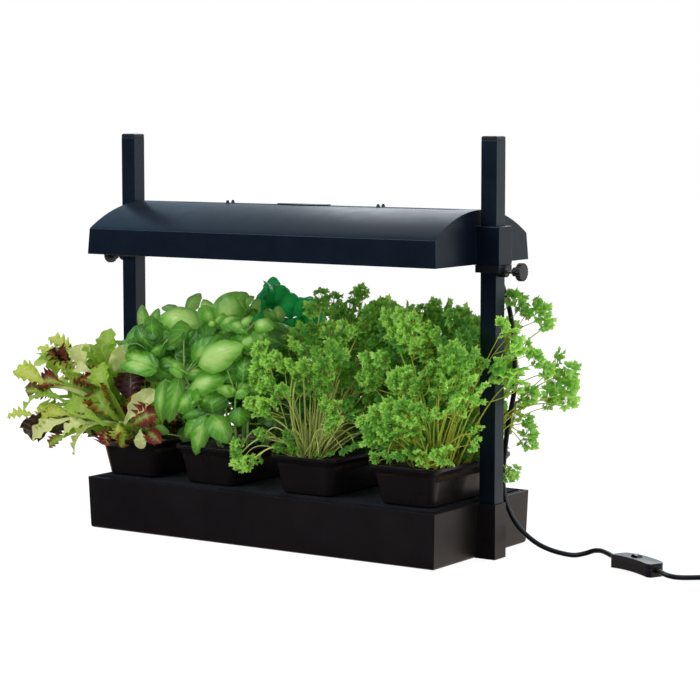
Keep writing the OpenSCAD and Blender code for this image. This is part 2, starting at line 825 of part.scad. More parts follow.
// Spring clip around the housing with two snap prongs through the roof
module lamp_clip(side) {
  half = housing_width / 2;
  top = housing_top + clip_strip;
  shoulder = prong_dia / 2 + 1.5;
  color("#2b2e33") translate([side * clip_pitch / 2, 0, 0]) {
    difference() {
      box_between([-clip_width / 2, -half - clip_strip, housing_bottom - clip_strip],
                  [clip_width / 2, half + clip_strip, top]);
      box_between([-clip_width, -half, housing_bottom], [clip_width, half, housing_top]);
      box_between([-clip_width, 3 - half, housing_bottom - 2 * clip_strip],
                  [clip_width, half - 3, housing_top]);
    }
    for (s = [-1, 1]) translate([0, s * prong_pitch / 2, 0]) {
      translate([0, 0, top])
        cylinder(r = shoulder, h = roof_z(prong_pitch / 2 + shoulder, hood_wall) - top - 0.05);
      translate([0, 0, top]) cylinder(d = prong_dia, h = hood_crest - top + 1);
      translate([0, 0, hood_crest])
        cylinder(r1 = prong_dia / 2 + 1, r2 = prong_dia / 2 - 0.5, h = prong_head);
    }
  }
}

// Strain relief of the lamp's lead, pointing to the back
module cord_gland() {
  color("#101114") translate([gland_x, 0, gland_z]) rotate([-90, 0, 0]) {
    translate([0, 0, housing_width / 2 - 5]) cylinder(r = gland_stem, h = 6);
    translate([0, 0, housing_width / 2])
      cylinder(r1 = gland_stem + 2.5, r2 = cord_dia / 2 + 1, h = gland_length);
  }
}

// ---------- Clamps ----------

module collar(side) {
  color("#191b20") at_post(side) difference() {
    union() {
      box_between([collar_back - post_x, -sleeve_half, collar_top - collar_height],
                  [sleeve_reach, sleeve_half, collar_top]);
      cylinder_x(boss_dia / 2, boss_end - post_x - guide_half, guide_half, screw_z);
    }
    cube([2 * guide_half, 2 * guide_half, far], center = true);
    cylinder_x(screw_dia / 2 + 0.4, far, 0, screw_z);
    cylinder_x(insert_dia / 2, far, boss_end - insert_length - post_x, screw_z);
  }
}

module insert(side) {
  color("#b08d3c") at_post(side) difference() {
    cylinder_x(insert_dia / 2, insert_length, boss_end - insert_length - post_x, screw_z);
    cylinder_x(screw_dia / 2 + screw_fit, far, 0, screw_z);
  }
}

module screw(side) {
  color("#8d9094") at_post(side)
    cylinder_x(screw_dia / 2, knob_x + knob_grip - tip_x, tip_x - post_x, screw_z);
}

module knob(side) {
  color("#0e0f12") at_post(side) difference() {
    union() {
      cylinder_x(knob_dia / 2 - 1, knob_thick, knob_x - post_x, screw_z);
      cylinder_x(knob_dia / 4, knob_hub, knob_x - post_x - knob_hub, screw_z);
      for (k = [0 : knob_ribs - 1]) {
        translate([knob_x - post_x, 0, screw_z]) rotate([360 * k / knob_ribs, 0, 0])
          translate([0, knob_dia / 2 - 1, 0]) rotate([0, 90, 0]) cylinder(r = 1, h = knob_thick, $fn = 16);
      }
    }
    cylinder_x(screw_dia / 2, knob_grip + knob_hub, knob_x - post_x - knob_hub, screw_z);
  }
}

// ---------- Cord ----------

module cord_drop() {
  color("#131417") sweep(DROP, cord_dia / 2, 10);
}

module cord_lead() {
  color("#131417") sweep(LEAD, cord_dia / 2, 10);
}

module cord_end() {
  color("#131417") sweep(END, cord_dia / 2, 10);
}

module cord_coil() {
  color("#131417") translate([coil_x, coil_y, (coil_base + coil_top) / 2]) rotate_extrude()
    translate([coil_dia / 2, 0])
      round_rect(coil_across * cord_dia, coil_layers * cord_dia, cord_dia / 2 - 0.2);
}

module coil_tie() {
  color("#202226") difference() {
    box_between([coil_x - tie_width / 2, coil_y - coil_out - tie_thick, 0],
                [coil_x + tie_width / 2, coil_y - coil_in + tie_thick, coil_top + tie_thick]);
    cord_coil();
  }
}

// ---------- Switch ----------

module at_switch() {
  translate([switch_x, switch_y, 0]) rotate([0, 0, switch_turn]) children();
}

// Arched layer of the switch's case between two heights above its underside
module case_layer(inset, low, high) {
  intersection() {
    linear_extrude(height = far, center = true)
      round_rect(switch_length - 2 * inset, switch_width - 2 * inset, 6 - inset);
    rotate([90, 0, 0]) linear_extrude(height = 2 * switch_width, center = true) intersection() {
      difference() {
        translate([0, switch_arch - case_radius]) circle(r = case_radius + high, $fn = 360);
        translate([0, switch_arch - case_radius]) circle(r = case_radius + low, $fn = 360);
      }
      square([switch_length + 10, far], center = true);
      translate([-far / 2, -5]) square([far, far]);
    }
  }
}

// Two screws, one near each end on opposite sides
module at_case_screws() {
  for (s = [-1, 1]) translate([s * (switch_length / 2 - 12), s * (switch_width / 2 - 4), 0]) children();
}

module switch_base() {
  color("#17181b") at_switch() difference() {
    union() {
      difference() {
        case_layer(0, 0, switch_seam);
        case_layer(switch_wall, switch_wall, switch_seam + 1);
      }
      intersection() {
        case_layer(0, 0, switch_seam);
        at_case_screws() cylinder(r = case_post, h = far);
      }
    }
    at_case_screws() cylinder(r = case_screw + 0.05, h = far, center = true);
    at_case_screws() cylinder(r = case_head + 0.1, h = 5, center = true);
  }
}

module switch_lid() {
  color("#23272c") at_switch() difference() {
    union() {
      difference() {
        case_layer(0, switch_seam, switch_height);
        case_layer(switch_wall, switch_seam - 1, switch_height - switch_wall);
        translate([0, 0, rocker_z])
          cube([2 * (rocker_radius + rocker_gap), rocker_width + 2 * rocker_gap, 30], center = true);
      }
      intersection() {
        case_layer(0, switch_seam, switch_height);
        at_case_screws() cylinder(r = case_post, h = far);
      }
      for (s = [-1, 1]) {
        translate([0, s * (rocker_width / 2 + rocker_gap + pivot_lug / 2), rocker_z])
          cube([2 * case_post, pivot_lug, 2 * case_post], center = true);
      }
    }
    at_case_screws() cylinder(r = case_screw, h = 2 * (case_top - switch_wall), center = true);
    translate([0, 0, rocker_z]) rotate([90, 0, 0])
      cylinder(r = pivot_radius + pivot_fit, h = rocker_width + 2 * (rocker_gap + pivot_lug) + 1,
               center = true);
  }
}

// Round rocker with a dished top, pressed down at one end
module switch_rocker() {
  dish = 2 * rocker_radius;
  color("#0b0c0e") at_switch() translate([0, 0, rocker_z]) rotate([90, rocker_tilt, 0]) {
    linear_extrude(height = rocker_width, center = true) difference() {
      circle(r = rocker_radius);
      translate([0, rocker_radius - 1.2 + dish]) circle(r = dish);
    }
    cylinder(r = pivot_radius, h = rocker_width + 2 * (rocker_gap + pivot_lug), center = true);
  }
}

// Brass terminals at both ends, and the strips that the rocker bridges
module switch_contacts() {
  low = switch_arch + switch_wall;
  color("#b08d3c") at_switch() for (s = [-1, 1]) {
    translate([s * 24, 0, low + 2.5]) cube([8, 7, 5], center = true);
    translate([s * 14, 0, low + 0.6]) cube([12, 4, 1.2], center = true);
  }
}

module switch_screws() {
  color("#8d9094") at_switch() at_case_screws() {
    translate([0, 0, 0.8]) cylinder(r = case_head, h = 1.7);
    translate([0, 0, 0.8]) cylinder(r = case_screw, h = case_top - 5);
  }
}

// ---------- Plug ----------

module plug_body() {
  color("#121316") translate([plug_x, plug_y, plug_height / 2]) rotate([-90, 0, 0]) {
    cylinder(r1 = cord_dia / 2 + 1, r2 = plug_height / 2 - 4, h = plug_neck);
    translate([0, 0, plug_neck]) linear_extrude(height = plug_length)
      round_rect(plug_width, plug_height, 5);
  }
}

// Two flat blades and a round earth pin
module plug_pins() {
  face = plug_neck + plug_length;
  color("#c4a85a") translate([plug_x, plug_y, plug_height / 2]) rotate([-90, 0, 0]) {
    for (s = [-1, 1]) {
      translate([s * blade_pitch / 2, -3, face + blade_length / 2])
        cube([1.5, 6.3, blade_length], center = true);
    }
    translate([0, 6, face]) cylinder(d = 4.8, h = blade_length + 3);
  }
}

tray();
platform();
wick_mat();
trough(0);  // trough_1
trough(1);  // trough_2
trough(2);  // trough_3
trough(3);  // trough_4
compost(0);  // compost_1
compost(1);  // compost_2
compost(2);  // compost_3
compost(3);  // compost_4
lettuce();
basil();
mint();
coriander();
parsley();
post(-1);  // post_left
post(1);  // post_right
post_cap(-1);  // post_cap_left
post_cap(1);  // post_cap_right
hood();
badge();
ballast_housing();
ballast();
reflector();
lamp_holder(-1);  // lamp_holder_left
lamp_holder(1);  // lamp_holder_right
lamp_clip(-1);  // lamp_clip_left
lamp_clip(1);  // lamp_clip_right
cord_gland();
lamp_tube();
lamp_cap(-1);  // lamp_cap_left
lamp_cap(1);  // lamp_cap_right
collar(-1);  // collar_left
collar(1);  // collar_right
insert(-1);  // insert_left
insert(1);  // insert_right
screw(-1);  // screw_left
screw(1);  // screw_right
knob(-1);  // knob_left
knob(1);  // knob_right
cord_drop();
cord_lead();
cord_coil();
coil_tie();
cord_end();
switch_base();
switch_lid();
switch_rocker();
switch_contacts();
switch_screws();
plug_body();
plug_pins();
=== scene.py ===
"""Dresses the countertop grow-light garden: plastics, lamp, planted troughs, mains lead and stage.

The packed solids give the places and sizes. This script adds the leaves, stems, compost and lead as
pieces of their own, gives each part its finish, and sets up the camera, the lights and the floor.
"""

import json
import math
import random

import bpy
import numpy as np
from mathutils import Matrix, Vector, noise


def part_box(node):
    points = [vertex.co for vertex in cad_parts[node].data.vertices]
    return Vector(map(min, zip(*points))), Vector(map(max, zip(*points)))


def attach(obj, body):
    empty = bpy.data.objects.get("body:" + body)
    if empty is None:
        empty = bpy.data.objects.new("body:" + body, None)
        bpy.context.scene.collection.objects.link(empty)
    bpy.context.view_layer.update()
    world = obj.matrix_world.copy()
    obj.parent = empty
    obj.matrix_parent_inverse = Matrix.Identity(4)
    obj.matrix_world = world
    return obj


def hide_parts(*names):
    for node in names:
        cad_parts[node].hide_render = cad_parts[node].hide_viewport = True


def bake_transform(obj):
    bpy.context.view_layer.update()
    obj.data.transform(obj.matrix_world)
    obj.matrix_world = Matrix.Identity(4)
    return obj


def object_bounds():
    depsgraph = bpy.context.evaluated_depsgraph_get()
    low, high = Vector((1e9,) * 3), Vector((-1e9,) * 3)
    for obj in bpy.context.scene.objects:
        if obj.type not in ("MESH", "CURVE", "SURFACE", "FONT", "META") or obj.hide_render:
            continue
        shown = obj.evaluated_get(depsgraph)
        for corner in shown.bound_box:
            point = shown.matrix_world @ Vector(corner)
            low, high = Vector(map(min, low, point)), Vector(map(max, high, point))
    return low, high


bl_info = {
    "name": "Countertop garden",
    "version": (1, 0, 0),
    "blender": (4, 5, 0),
    "location": "3D View > Sidebar > Garden",
    "description": "Finishes, foliage, lead and stage for a countertop grow-light garden",
    "category": "Object",
}

MM = 0.001
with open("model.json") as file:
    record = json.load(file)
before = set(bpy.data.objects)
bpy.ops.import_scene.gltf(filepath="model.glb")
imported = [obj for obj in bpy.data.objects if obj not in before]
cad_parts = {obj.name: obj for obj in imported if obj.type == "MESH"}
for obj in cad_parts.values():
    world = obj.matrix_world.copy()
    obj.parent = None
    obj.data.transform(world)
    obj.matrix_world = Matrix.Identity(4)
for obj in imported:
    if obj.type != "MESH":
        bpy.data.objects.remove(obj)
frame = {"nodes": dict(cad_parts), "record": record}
CAD_BOX = [list(corner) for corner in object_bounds()]


# ---------- Shader expressions ----------


class Value:
    """A shader value that can be used in arithmetic, which adds the Math nodes."""

    def __init__(self, finish, socket):
        self.finish, self.socket = finish, socket

    def apply(self, operation, *others):
        """Any other Math operation on this value."""
        return self.finish.maths(operation, self, *others)

    def __add__(self, other):
        return self.finish.maths("ADD", self, other)

    def __sub__(self, other):
        return self.finish.maths("SUBTRACT", self, other)

    def __rsub__(self, other):
        return self.finish.maths("SUBTRACT", other, self)

    def __mul__(self, other):
        return self.finish.maths("MULTIPLY", self, other)

    def __abs__(self):
        return self.finish.maths("ABSOLUTE", self)

    __radd__, __rmul__ = __add__, __mul__

    def clamped(self):
        """The value, held between 0 and 1."""
        return self.finish.maths("MINIMUM", self.finish.maths("MAXIMUM", self, 0.0), 1.0)

    def between(self, low, high):
        """0 at low and 1 at high, with a straight slope in between."""
        return ((self - low) * (1.0 / (high - low))).clamped()


class Graph:
    """The nodes of a material or of the surroundings, from an empty start."""

    def __init__(self, owner):
        owner.use_nodes = True
        self.tree = owner.node_tree
        self.tree.nodes.clear()

    def node(self, kind, settings=None, sockets=None):
        """Adds a node, sets its settings first, and then its sockets by name or number."""
        made = self.tree.nodes.new(kind)
        for key, wanted in (settings or {}).items():
            setattr(made, key, wanted)
        for key, given in (sockets or {}).items():
            self.put(made.inputs[key], given)
        return made

    def put(self, socket, given):
        """Links a socket or value, or sets a plain number or colour."""
        given = getattr(given, "socket", given)
        if isinstance(given, bpy.types.NodeSocket):
            self.tree.links.new(given, socket)
        elif socket.type == "RGBA" and len(given) == 3:
            socket.default_value = (*given, 1.0)
        else:
            socket.default_value = given

    def maths(self, operation, *terms):
        """A Math node of these terms."""
        made = self.node("ShaderNodeMath", {"operation": operation}, dict(enumerate(terms)))
        return Value(self, made.outputs[0])

    def mix(self, factor, first, second):
        """Colour between two colours."""
        made = self.node("ShaderNodeMix", {"data_type": "RGBA"}, {0: factor, 6: first, 7: second})
        return made.outputs[2]

    def parts(self, vector):
        """The three components of a vector."""
        return [Value(self, each) for each in self.node("ShaderNodeSeparateXYZ", {}, {0: vector}).outputs]

    def rays(self, *kinds):
        """1 for rays of any of these kinds, and 0 for all others."""
        path = self.node("ShaderNodeLightPath")
        found = Value(self, path.outputs[kinds[0]])
        for kind in kinds[1:]:
            found = found.apply("MAXIMUM", path.outputs[kind])
        return found


class Finish(Graph):
    """A material under construction, with a Principled surface at its end."""

    def __init__(self, name):
        self.material = bpy.data.materials.new(name)
        super().__init__(self.material)
        self.surface = self.node("ShaderNodeBsdfPrincipled")
        self.output = self.node("ShaderNodeOutputMaterial", {}, {"Surface": self.surface.outputs[0]})

    def place(self):
        """The place on the piece, in metres."""
        return self.node("ShaderNodeTexCoord").outputs["Object"]

    def noise(self, scale, detail=3.0, rough=0.55, at=None):
        """Cloudy noise, scale lumps to a metre."""
        made = self.node(
            "ShaderNodeTexNoise",
            {},
            {"Vector": at or self.place(), "Scale": scale, "Detail": detail, "Roughness": rough},
        )
        return Value(self, made.outputs[0])

    def bump(self, height, strength, distance):
        """Relief of the surface, distance deep at full strength."""
        made = self.node(
            "ShaderNodeBump", {}, {"Height": height, "Strength": strength, "Distance": distance}
        )
        self.put(self.surface.inputs["Normal"], made.outputs[0])

    def set(self, **given):
        """Sets the surface's sockets; a name's underscores are its spaces."""
        for key, wanted in given.items():
            self.put(self.surface.inputs[key.replace("_", " ")], wanted)


def moulded(name, colour, roughness=0.42, specular=0.25, grain=900.0, depth=0.00006, tint=(1.0, 1.0, 1.0)):
    """Moulded plastic with a fine grain, faint handling marks and a little dust."""
    finish = Finish(name)
    marks = finish.noise(35.0, 4.0, 0.6)
    blotch = finish.noise(6.0, 2.0)
    light = [min(1.0, c * 1.6 + 0.002) for c in colour]
    finish.set(
        Base_Color=finish.mix((blotch * 0.7 + marks * 0.3).between(0.3, 0.75), colour, light),
        Roughness=roughness + (marks - 0.5) * 0.18,
        Specular_IOR_Level=specular,
        Specular_Tint=tint,
    )
    finish.bump(finish.noise(grain, 2.0), 0.35, depth)
    return finish.material


def wear(node, material):
    """Gives a packed solid its finish."""
    target = frame["nodes"][node]
    if not target.material_slots:
        target.data.materials.append(material)
    for each in target.material_slots:
        each.material = material


# ---------- Settings ----------


class GardenStage(bpy.types.PropertyGroup):
    """Camera, lights and floor."""

    azimuth: bpy.props.FloatProperty(
        name="Azimuth",
        description="Camera's turn round the garden",
        default=math.radians(33.803),
        subtype="ANGLE",
    )
    pitch: bpy.props.FloatProperty(
        name="Pitch", description="Camera's downward tilt", default=math.radians(5.853), subtype="ANGLE"
    )
    distance: bpy.props.FloatProperty(
        name="Distance", description="Camera to the point it looks at", default=3.3569, unit="LENGTH"
    )
    lens: bpy.props.FloatProperty(name="Lens", description="Focal length in millimetres", default=119.087)
    aside: bpy.props.FloatProperty(
        name="Aside", description="Sideways place of the point looked at", default=0.06647, unit="LENGTH"
    )
    height: bpy.props.FloatProperty(
        name="Height", description="Height of the point looked at", default=0.27126, unit="LENGTH"
    )
    ambient: bpy.props.FloatProperty(
        name="Ambient", description="Strength of the surroundings", default=0.42, min=0.0, max=1.0
    )
    key: bpy.props.FloatProperty(
        name="Key light",
        description="Power of the light in front, in watts",
        default=72.0,
        subtype="POWER",
    )
    side: bpy.props.FloatProperty(
        name="Side lights",
        description="Power of each of the other lights, in watts",
        default=30.0,
        subtype="POWER",
    )


class GardenLead(bpy.types.PropertyGroup):
    """Mains lead."""

    thickness: bpy.props.FloatProperty(
        name="Thickness", description="Diameter of the lead", default=0.007, unit="LENGTH"
    )
    hanging: bpy.props.FloatProperty(
        name="Hanging length", description="Lead from the hood to the switch", default=0.63, unit="LENGTH"
    )
    stored: bpy.props.FloatProperty(
        name="Stored length", description="Lead from the switch to the plug", default=1.11, unit="LENGTH"
    )
    coil_x: bpy.props.FloatProperty(
        name="Coil X", description="Place of the coil's middle", default=0.686, unit="LENGTH"
    )
    coil_y: bpy.props.FloatProperty(
        name="Coil Y", description="Place of the coil's middle", default=0.008, unit="LENGTH"
    )
    coil_across: bpy.props.FloatProperty(
        name="Coil width", description="Width across the middle of the turns", default=0.077, unit="LENGTH"
    )
    turns: bpy.props.IntProperty(name="Turns", description="Turns in the coil", default=4)


class GardenPlanting(bpy.types.PropertyGroup):
    """Leaves that fill the plants behind those placed one by one."""

    seed: bpy.props.IntProperty(
        name="Seed", description="Changes every plant's small differences", default=7, min=0
    )
    lettuce: bpy.props.IntProperty(
        name="Lettuce leaves", description="Leaves round the back", default=70, min=0
    )
    basil: bpy.props.IntProperty(
        name="Basil leaves", description="Leaves round the back", default=90, min=0
    )
    mint: bpy.props.IntProperty(
        name="Mint leaves", description="Leaves round the back", default=44, min=0
    )
    coriander: bpy.props.IntProperty(
        name="Coriander heads", description="Heads round the back", default=110, min=0
    )
    parsley: bpy.props.IntProperty(
        name="Parsley heads", description="Heads round the back", default=130, min=0
    )
    rosette: bpy.props.IntProperty(
        name="Basil tip leaves", description="Young leaves at each tip", default=5, min=0
    )


def colour_setting(label, description, default):
    """A colour that can be changed in the panel."""
    return bpy.props.FloatVectorProperty(
        name=label, description=description, default=default, subtype="COLOR", min=0.0, max=1.0
    )


class GardenColours(bpy.types.PropertyGroup):
    """Main colours."""

    upright: colour_setting("Posts and hood", "Plastic of the posts and the hood", (0.0015, 0.0032, 0.0085))
    tray: colour_setting("Tray", "Plastic of the tray and the platform", (0.0055, 0.0038, 0.0042))
    trough: colour_setting("Troughs", "Plastic of the troughs", (0.006, 0.0045, 0.005))
    lead: colour_setting("Lead", "Rubber of the lead", (0.0035, 0.0035, 0.0045))
    lettuce: colour_setting("Lettuce", "Green lettuce leaves in the light", (0.42, 0.66, 0.07))
    basil: colour_setting("Basil", "Basil leaves in the light", (0.2, 0.64, 0.045))
    mint: colour_setting("Mint", "Mint leaves in the light", (0.008, 0.7, 0.15))
    coriander: colour_setting("Coriander", "Coriander leaves in the light", (0.22, 0.6, 0.05))
    parsley: colour_setting("Parsley", "Parsley leaves in the light", (0.25, 0.7, 0.07))


# ---------- Camera ----------


class GARDEN_OT_camera(bpy.types.Operator):
    """Place the camera"""

    bl_idname = "garden.camera"
    bl_label = "Camera"

    def execute(self, context):
        stage = context.scene.garden_stage
        turn, pitch = stage.azimuth, stage.pitch
        ahead = Vector(
            (-math.sin(turn) * math.cos(pitch), math.cos(turn) * math.cos(pitch), -math.sin(pitch))
        )
        target = Vector((math.cos(turn), math.sin(turn), 0.0)) * stage.aside + Vector((0, 0, stage.height))
        data = bpy.data.cameras.new("camera")
        data.lens, data.sensor_width = stage.lens, 36.0
        data.clip_end = 50.0
        camera = bpy.data.objects.new("camera", data)
        context.scene.collection.objects.link(camera)
        camera.rotation_mode = "QUATERNION"
        camera.location = target - ahead * stage.distance
        camera.rotation_quaternion = ahead.to_track_quat("-Z", "Y")
        context.scene.camera = camera
        return {"FINISHED"}


class GARDEN_OT_stage(bpy.types.Operator):
    """Make the floor, the surroundings and the lights"""

    bl_idname = "garden.stage"
    bl_label = "Stage"

    def execute(self, context):
        scene, stage = context.scene, context.scene.garden_stage
        scene.view_settings.view_transform = "Standard"
        self.surroundings(scene, stage)
        self.floor(scene)
        self.lamp("key_light", stage.key, 2.2, (-1.6, -2.6, 2.6), (1.0, 0.985, 0.96))
        self.lamp("side_light", stage.side, 2.0, (3.0, -0.6, 1.6), (1.0, 0.94, 0.88))
        self.lamp("back_light", stage.side, 2.0, (-0.8, 2.6, 2.2), (0.9, 0.95, 1.0))
        return {"FINISHED"}

    def surroundings(self, scene, stage):
        """White behind everything, soft as light, and a dark room in front as a gloss mirrors it."""
        world = bpy.data.worlds.new("surroundings")
        scene.world = world
        graph = Graph(world)
        x, y, z = graph.parts(graph.node("ShaderNodeTexCoord").outputs["Generated"])
        dark, blue, sheen = (0.03, 0.02, 0.02), (0.16, 0.36, 0.62), (0.2, 0.34, 0.5)
        warm, white = (1.0, 0.86, 0.78), (0.95, 1.0, 1.0)
        front = graph.mix(z.between(0.0, 0.22), dark, blue)
        back = graph.mix(x.between(-0.75, -0.3), sheen, white)
        back = graph.mix(z.between(-0.2, -0.02), warm, back)
        mirrored = graph.mix(y.between(-0.35, 0.4), front, back)
        soft = graph.mix(graph.rays("Is Glossy Ray"), (stage.ambient,) * 3, mirrored)
        colour = graph.mix(graph.rays("Is Camera Ray", "Is Transmission Ray"), soft, (1.0, 1.0, 1.0))
        light = graph.node("ShaderNodeBackground", {}, {"Color": colour})
        graph.node("ShaderNodeOutputWorld", {}, {"Surface": light.outputs[0]})

    def floor(self, scene):
        """A pale floor that the camera sees nearly white, with the object's shadow on it."""
        finish = Finish("floor_white")
        finish.set(Base_Color=(0.9, 0.9, 0.9), Roughness=0.8, Specular_IOR_Level=0.1)
        glow = finish.node("ShaderNodeEmission", {}, {"Color": (1.0, 1.0, 1.0), "Strength": 1.28})
        blend = finish.node(
            "ShaderNodeMixShader",
            {},
            {0: finish.rays("Is Camera Ray") * 0.7, 1: finish.surface.outputs[0], 2: glow.outputs[0]},
        )
        finish.put(finish.output.inputs["Surface"], blend.outputs[0])
        mesh = bpy.data.meshes.new("floor")
        reach = 12.0
        corners = [(-reach, -reach, 0), (reach, -reach, 0), (reach, reach, 0), (-reach, reach, 0)]
        mesh.from_pydata(corners, [], [(0, 1, 2, 3)])
        mesh.materials.append(finish.material)
        floor = bpy.data.objects.new("floor", mesh)
        scene.collection.objects.link(floor)
        just_below = 0.0004
        floor.location.z = -just_below
        floor.visible_glossy = False

    def lamp(self, name, power, size, place, colour):
        """A soft square light that looks at the garden."""
        data = bpy.data.lights.new(name, "AREA")
        data.energy, data.size, data.color = power, size, colour
        lamp = bpy.data.objects.new(name, data)
        bpy.context.scene.collection.objects.link(lamp)
        lamp.location = place
        aim = Vector((0.1, 0.0, 0.25)) - Vector(place)
        lamp.rotation_mode = "QUATERNION"
        lamp.rotation_quaternion = aim.to_track_quat("-Z", "Y")


# ---------- Curves and meshes ----------


def smooth_line(points, step):
    """A smooth line through the points, with a point about every step."""
    points = np.array(points, float)
    ends = [2 * points[0] - points[1], *points, 2 * points[-1] - points[-2]]
    line = []
    for a, b, c, d in zip(ends, ends[1:], ends[2:], ends[3:]):
        count = max(2, math.ceil(np.linalg.norm(c - b) / step))
        t = np.linspace(0.0, 1.0, count, endpoint=False)[:, None]
        line.append(
            0.5
            * (
                2 * b
                + (c - a) * t
                + (2 * a - 5 * b + 4 * c - d) * t**2
                + (3 * b - a - 3 * c + d) * t**3
            )
        )
    return np.vstack([*line, points[-1:]])


def pipe(line, radii, sides):
    """Rings of points round a line, as one grid whose last column repeats the first."""
    line = np.array(line, float)
    ahead = np.gradient(line, axis=0)
    ahead /= np.linalg.norm(ahead, axis=1)[:, None]
    across = np.cross(ahead[0], (0.31, 0.17, 0.93))
    turn = np.linspace(0.0, 2.0 * math.pi, sides + 1)
    rings = []
    for centre, forward, radius in zip(line, ahead, np.broadcast_to(radii, len(line))):
        across = across - forward * np.dot(across, forward)
        across /= np.linalg.norm(across)
        up = np.cross(forward, across)
        rings.append(centre + radius * (np.outer(np.cos(turn), across) + np.outer(np.sin(turn), up)))
    return np.array(rings)


def grid_faces(rows, columns, first=0):
    """Quads of a grid of points."""
    row, column = np.meshgrid(np.arange(rows - 1), np.arange(columns - 1), indexing="ij")
    corner = (first + row * columns + column).ravel()
    return np.stack([corner, corner + 1, corner + columns + 1, corner + columns], axis=1)


def new_piece(name, points, faces, material, body="stand"):
    """A smooth mesh object that moves with a body."""
    mesh = bpy.data.meshes.new(name)
    mesh.from_pydata([tuple(p) for p in np.asarray(points, float).tolist()], [], [tuple(f) for f in faces])
    mesh.polygons.foreach_set("use_smooth", [True] * len(mesh.polygons))
    mesh.materials.append(material)
    made = bpy.data.objects.new(name, mesh)
    bpy.context.scene.collection.objects.link(made)
    if body:
        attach(made, body)
    return made


def closed_tube(name, line, radius, material, body="stand"):
    """A round tube along a line, closed at both ends."""
    sides = 14
    rings = pipe(line, radius, sides)[:, :-1]
    count = len(rings)
    points = np.vstack([rings.reshape(-1, 3), line[:1], line[-1:]])
    faces = []
    for ring in range(count - 1):
        for side in range(sides):
            near, far = ring * sides, (ring + 1) * sides
            following = (side + 1) % sides
            faces.append((near + side, near + following, far + following, far + side))
    for side in range(sides):
        following = (side + 1) % sides
        faces.append((count * sides, following, side))
        last = (count - 1) * sides
        faces.append((count * sides + 1, last + side, last + following))
    return new_piece(name, points, faces, material, body)


# ---------- Mains lead ----------

# The lead hangs from the gland at the hood's back, passes behind the right post and reaches the switch.
DROP = (
    (270, 47, 458), (270, 57, 458), (270, 67, 452), (271, 73, 441), (272, 75, 429), (275, 74, 414),
    (280, 72, 397), (288, 69, 380), (297, 65, 363), (306, 60, 346), (313, 55, 329), (319, 50, 311),
    (323, 47, 292), (325, 45, 272), (326, 44, 250), (325, 44, 228), (321, 44, 207), (316, 45, 186),
    (313, 45, 165), (310, 46, 144), (308, 46, 124), (307, 46, 104), (309, 46, 84), (314, 46, 68),
    (322, 46, 52), (333, 46, 38), (346, 48, 26), (361, 51, 16), (378, 55, 9), (396, 59, 5), (413, 62, 4),
    (429, 64, 8), (442, 63, 13), (455, 59, 15), (468, 52, 14.3), (479, 46.4, 12.5), (488.9, 41.6, 11),
)  # fmt: skip
# Below this place the lead stays where it is when the hood slides.
# From the switch the lead runs to its coil, and from the coil into the plug.
LEAD = (
    (567.1, 4.3, 9), (576, 0, 8), (586, -3, 6), (597, -1, 4.4), (608, 6, 3.8), (622, 15.5, 4),
    (635, 24.5, 4.3), (648, 33, 4.5),
)  # fmt: skip
END = ((657.4, 42.5, 11.6), (661.3, 51, 11.4), (664, 60, 11), (664, 68, 11))


def coil_line(lead):
    """Two layers of turns, wound clockwise from the outside in, up and out again."""
    centre = Vector((lead.coil_x, lead.coil_y))
    inner = lead.coil_across / 2 - lead.thickness / 2
    outer = lead.coil_across / 2 + lead.thickness / 2
    low = lead.thickness * 0.64
    first = math.atan2(LEAD[-1][1] * MM - centre.y, LEAD[-1][0] * MM - centre.x)
    last = math.atan2(END[0][1] * MM - centre.y, END[0][0] * MM - centre.x)
    turns = lead.turns + (first - last) / (2 * math.pi)
    # Shares of a turn over which the lead changes lane or layer, and joins the coil.
    change = 0.08
    joining = 0.06

    def eased(place, start):
        t = min(1.0, max(0.0, (place - start) / change))
        return t * t * (3 - 2 * t)

    points = []
    points_to_a_turn = 28
    count = round(turns * points_to_a_turn)
    for i in range(1, count):
        place = turns * i / count
        angle = first - 2 * math.pi * place
        inward = eased(place, 1.0) - eased(place, 3.0 - change)
        radius = outer + (inner - outer) * inward
        height = low + lead.thickness * eased(place, 2.0 - change / 2)
        joined = min(1.0, place / joining)
        radius += (1 - joined) * lead.thickness / 2
        points.append((centre.x + radius * math.cos(angle), centre.y + radius * math.sin(angle), height))
    return points


class GARDEN_OT_lead(bpy.types.Operator):
    """Lay the mains lead from the hood to its plug"""

    bl_idname = "garden.lead"
    bl_label = "Lead"

    def execute(self, context):
        lead = context.scene.garden_lead
        colour = tuple(context.scene.garden_colours.lead)
        rubber = moulded("cord_rubber", colour, 0.34, 0.4, 1600.0, 0.00003)
        radius = step = lead.thickness / 2
        hanging = smooth_line(np.array(DROP) * MM, step)
        upper = closed_tube("lead_hanging", hanging, radius, rubber, body=None)
        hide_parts("cord_drop")
        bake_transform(upper)
        stored = np.vstack([np.array(LEAD) * MM, coil_line(lead), np.array(END) * MM])
        stored = smooth_line(stored, step)
        lower = closed_tube("lead_stored", stored, radius, rubber)
        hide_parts("cord_lead", "cord_coil", "cord_end")
        return {"FINISHED"}


# ---------- Finishes of the packed solids ----------

# The tint of the sheen on the posts and the hood.
COLD = (0.55, 0.82, 1.0)
BRASS = (0.72, 0.5, 0.2)
STEEL = (0.5, 0.5, 0.52)


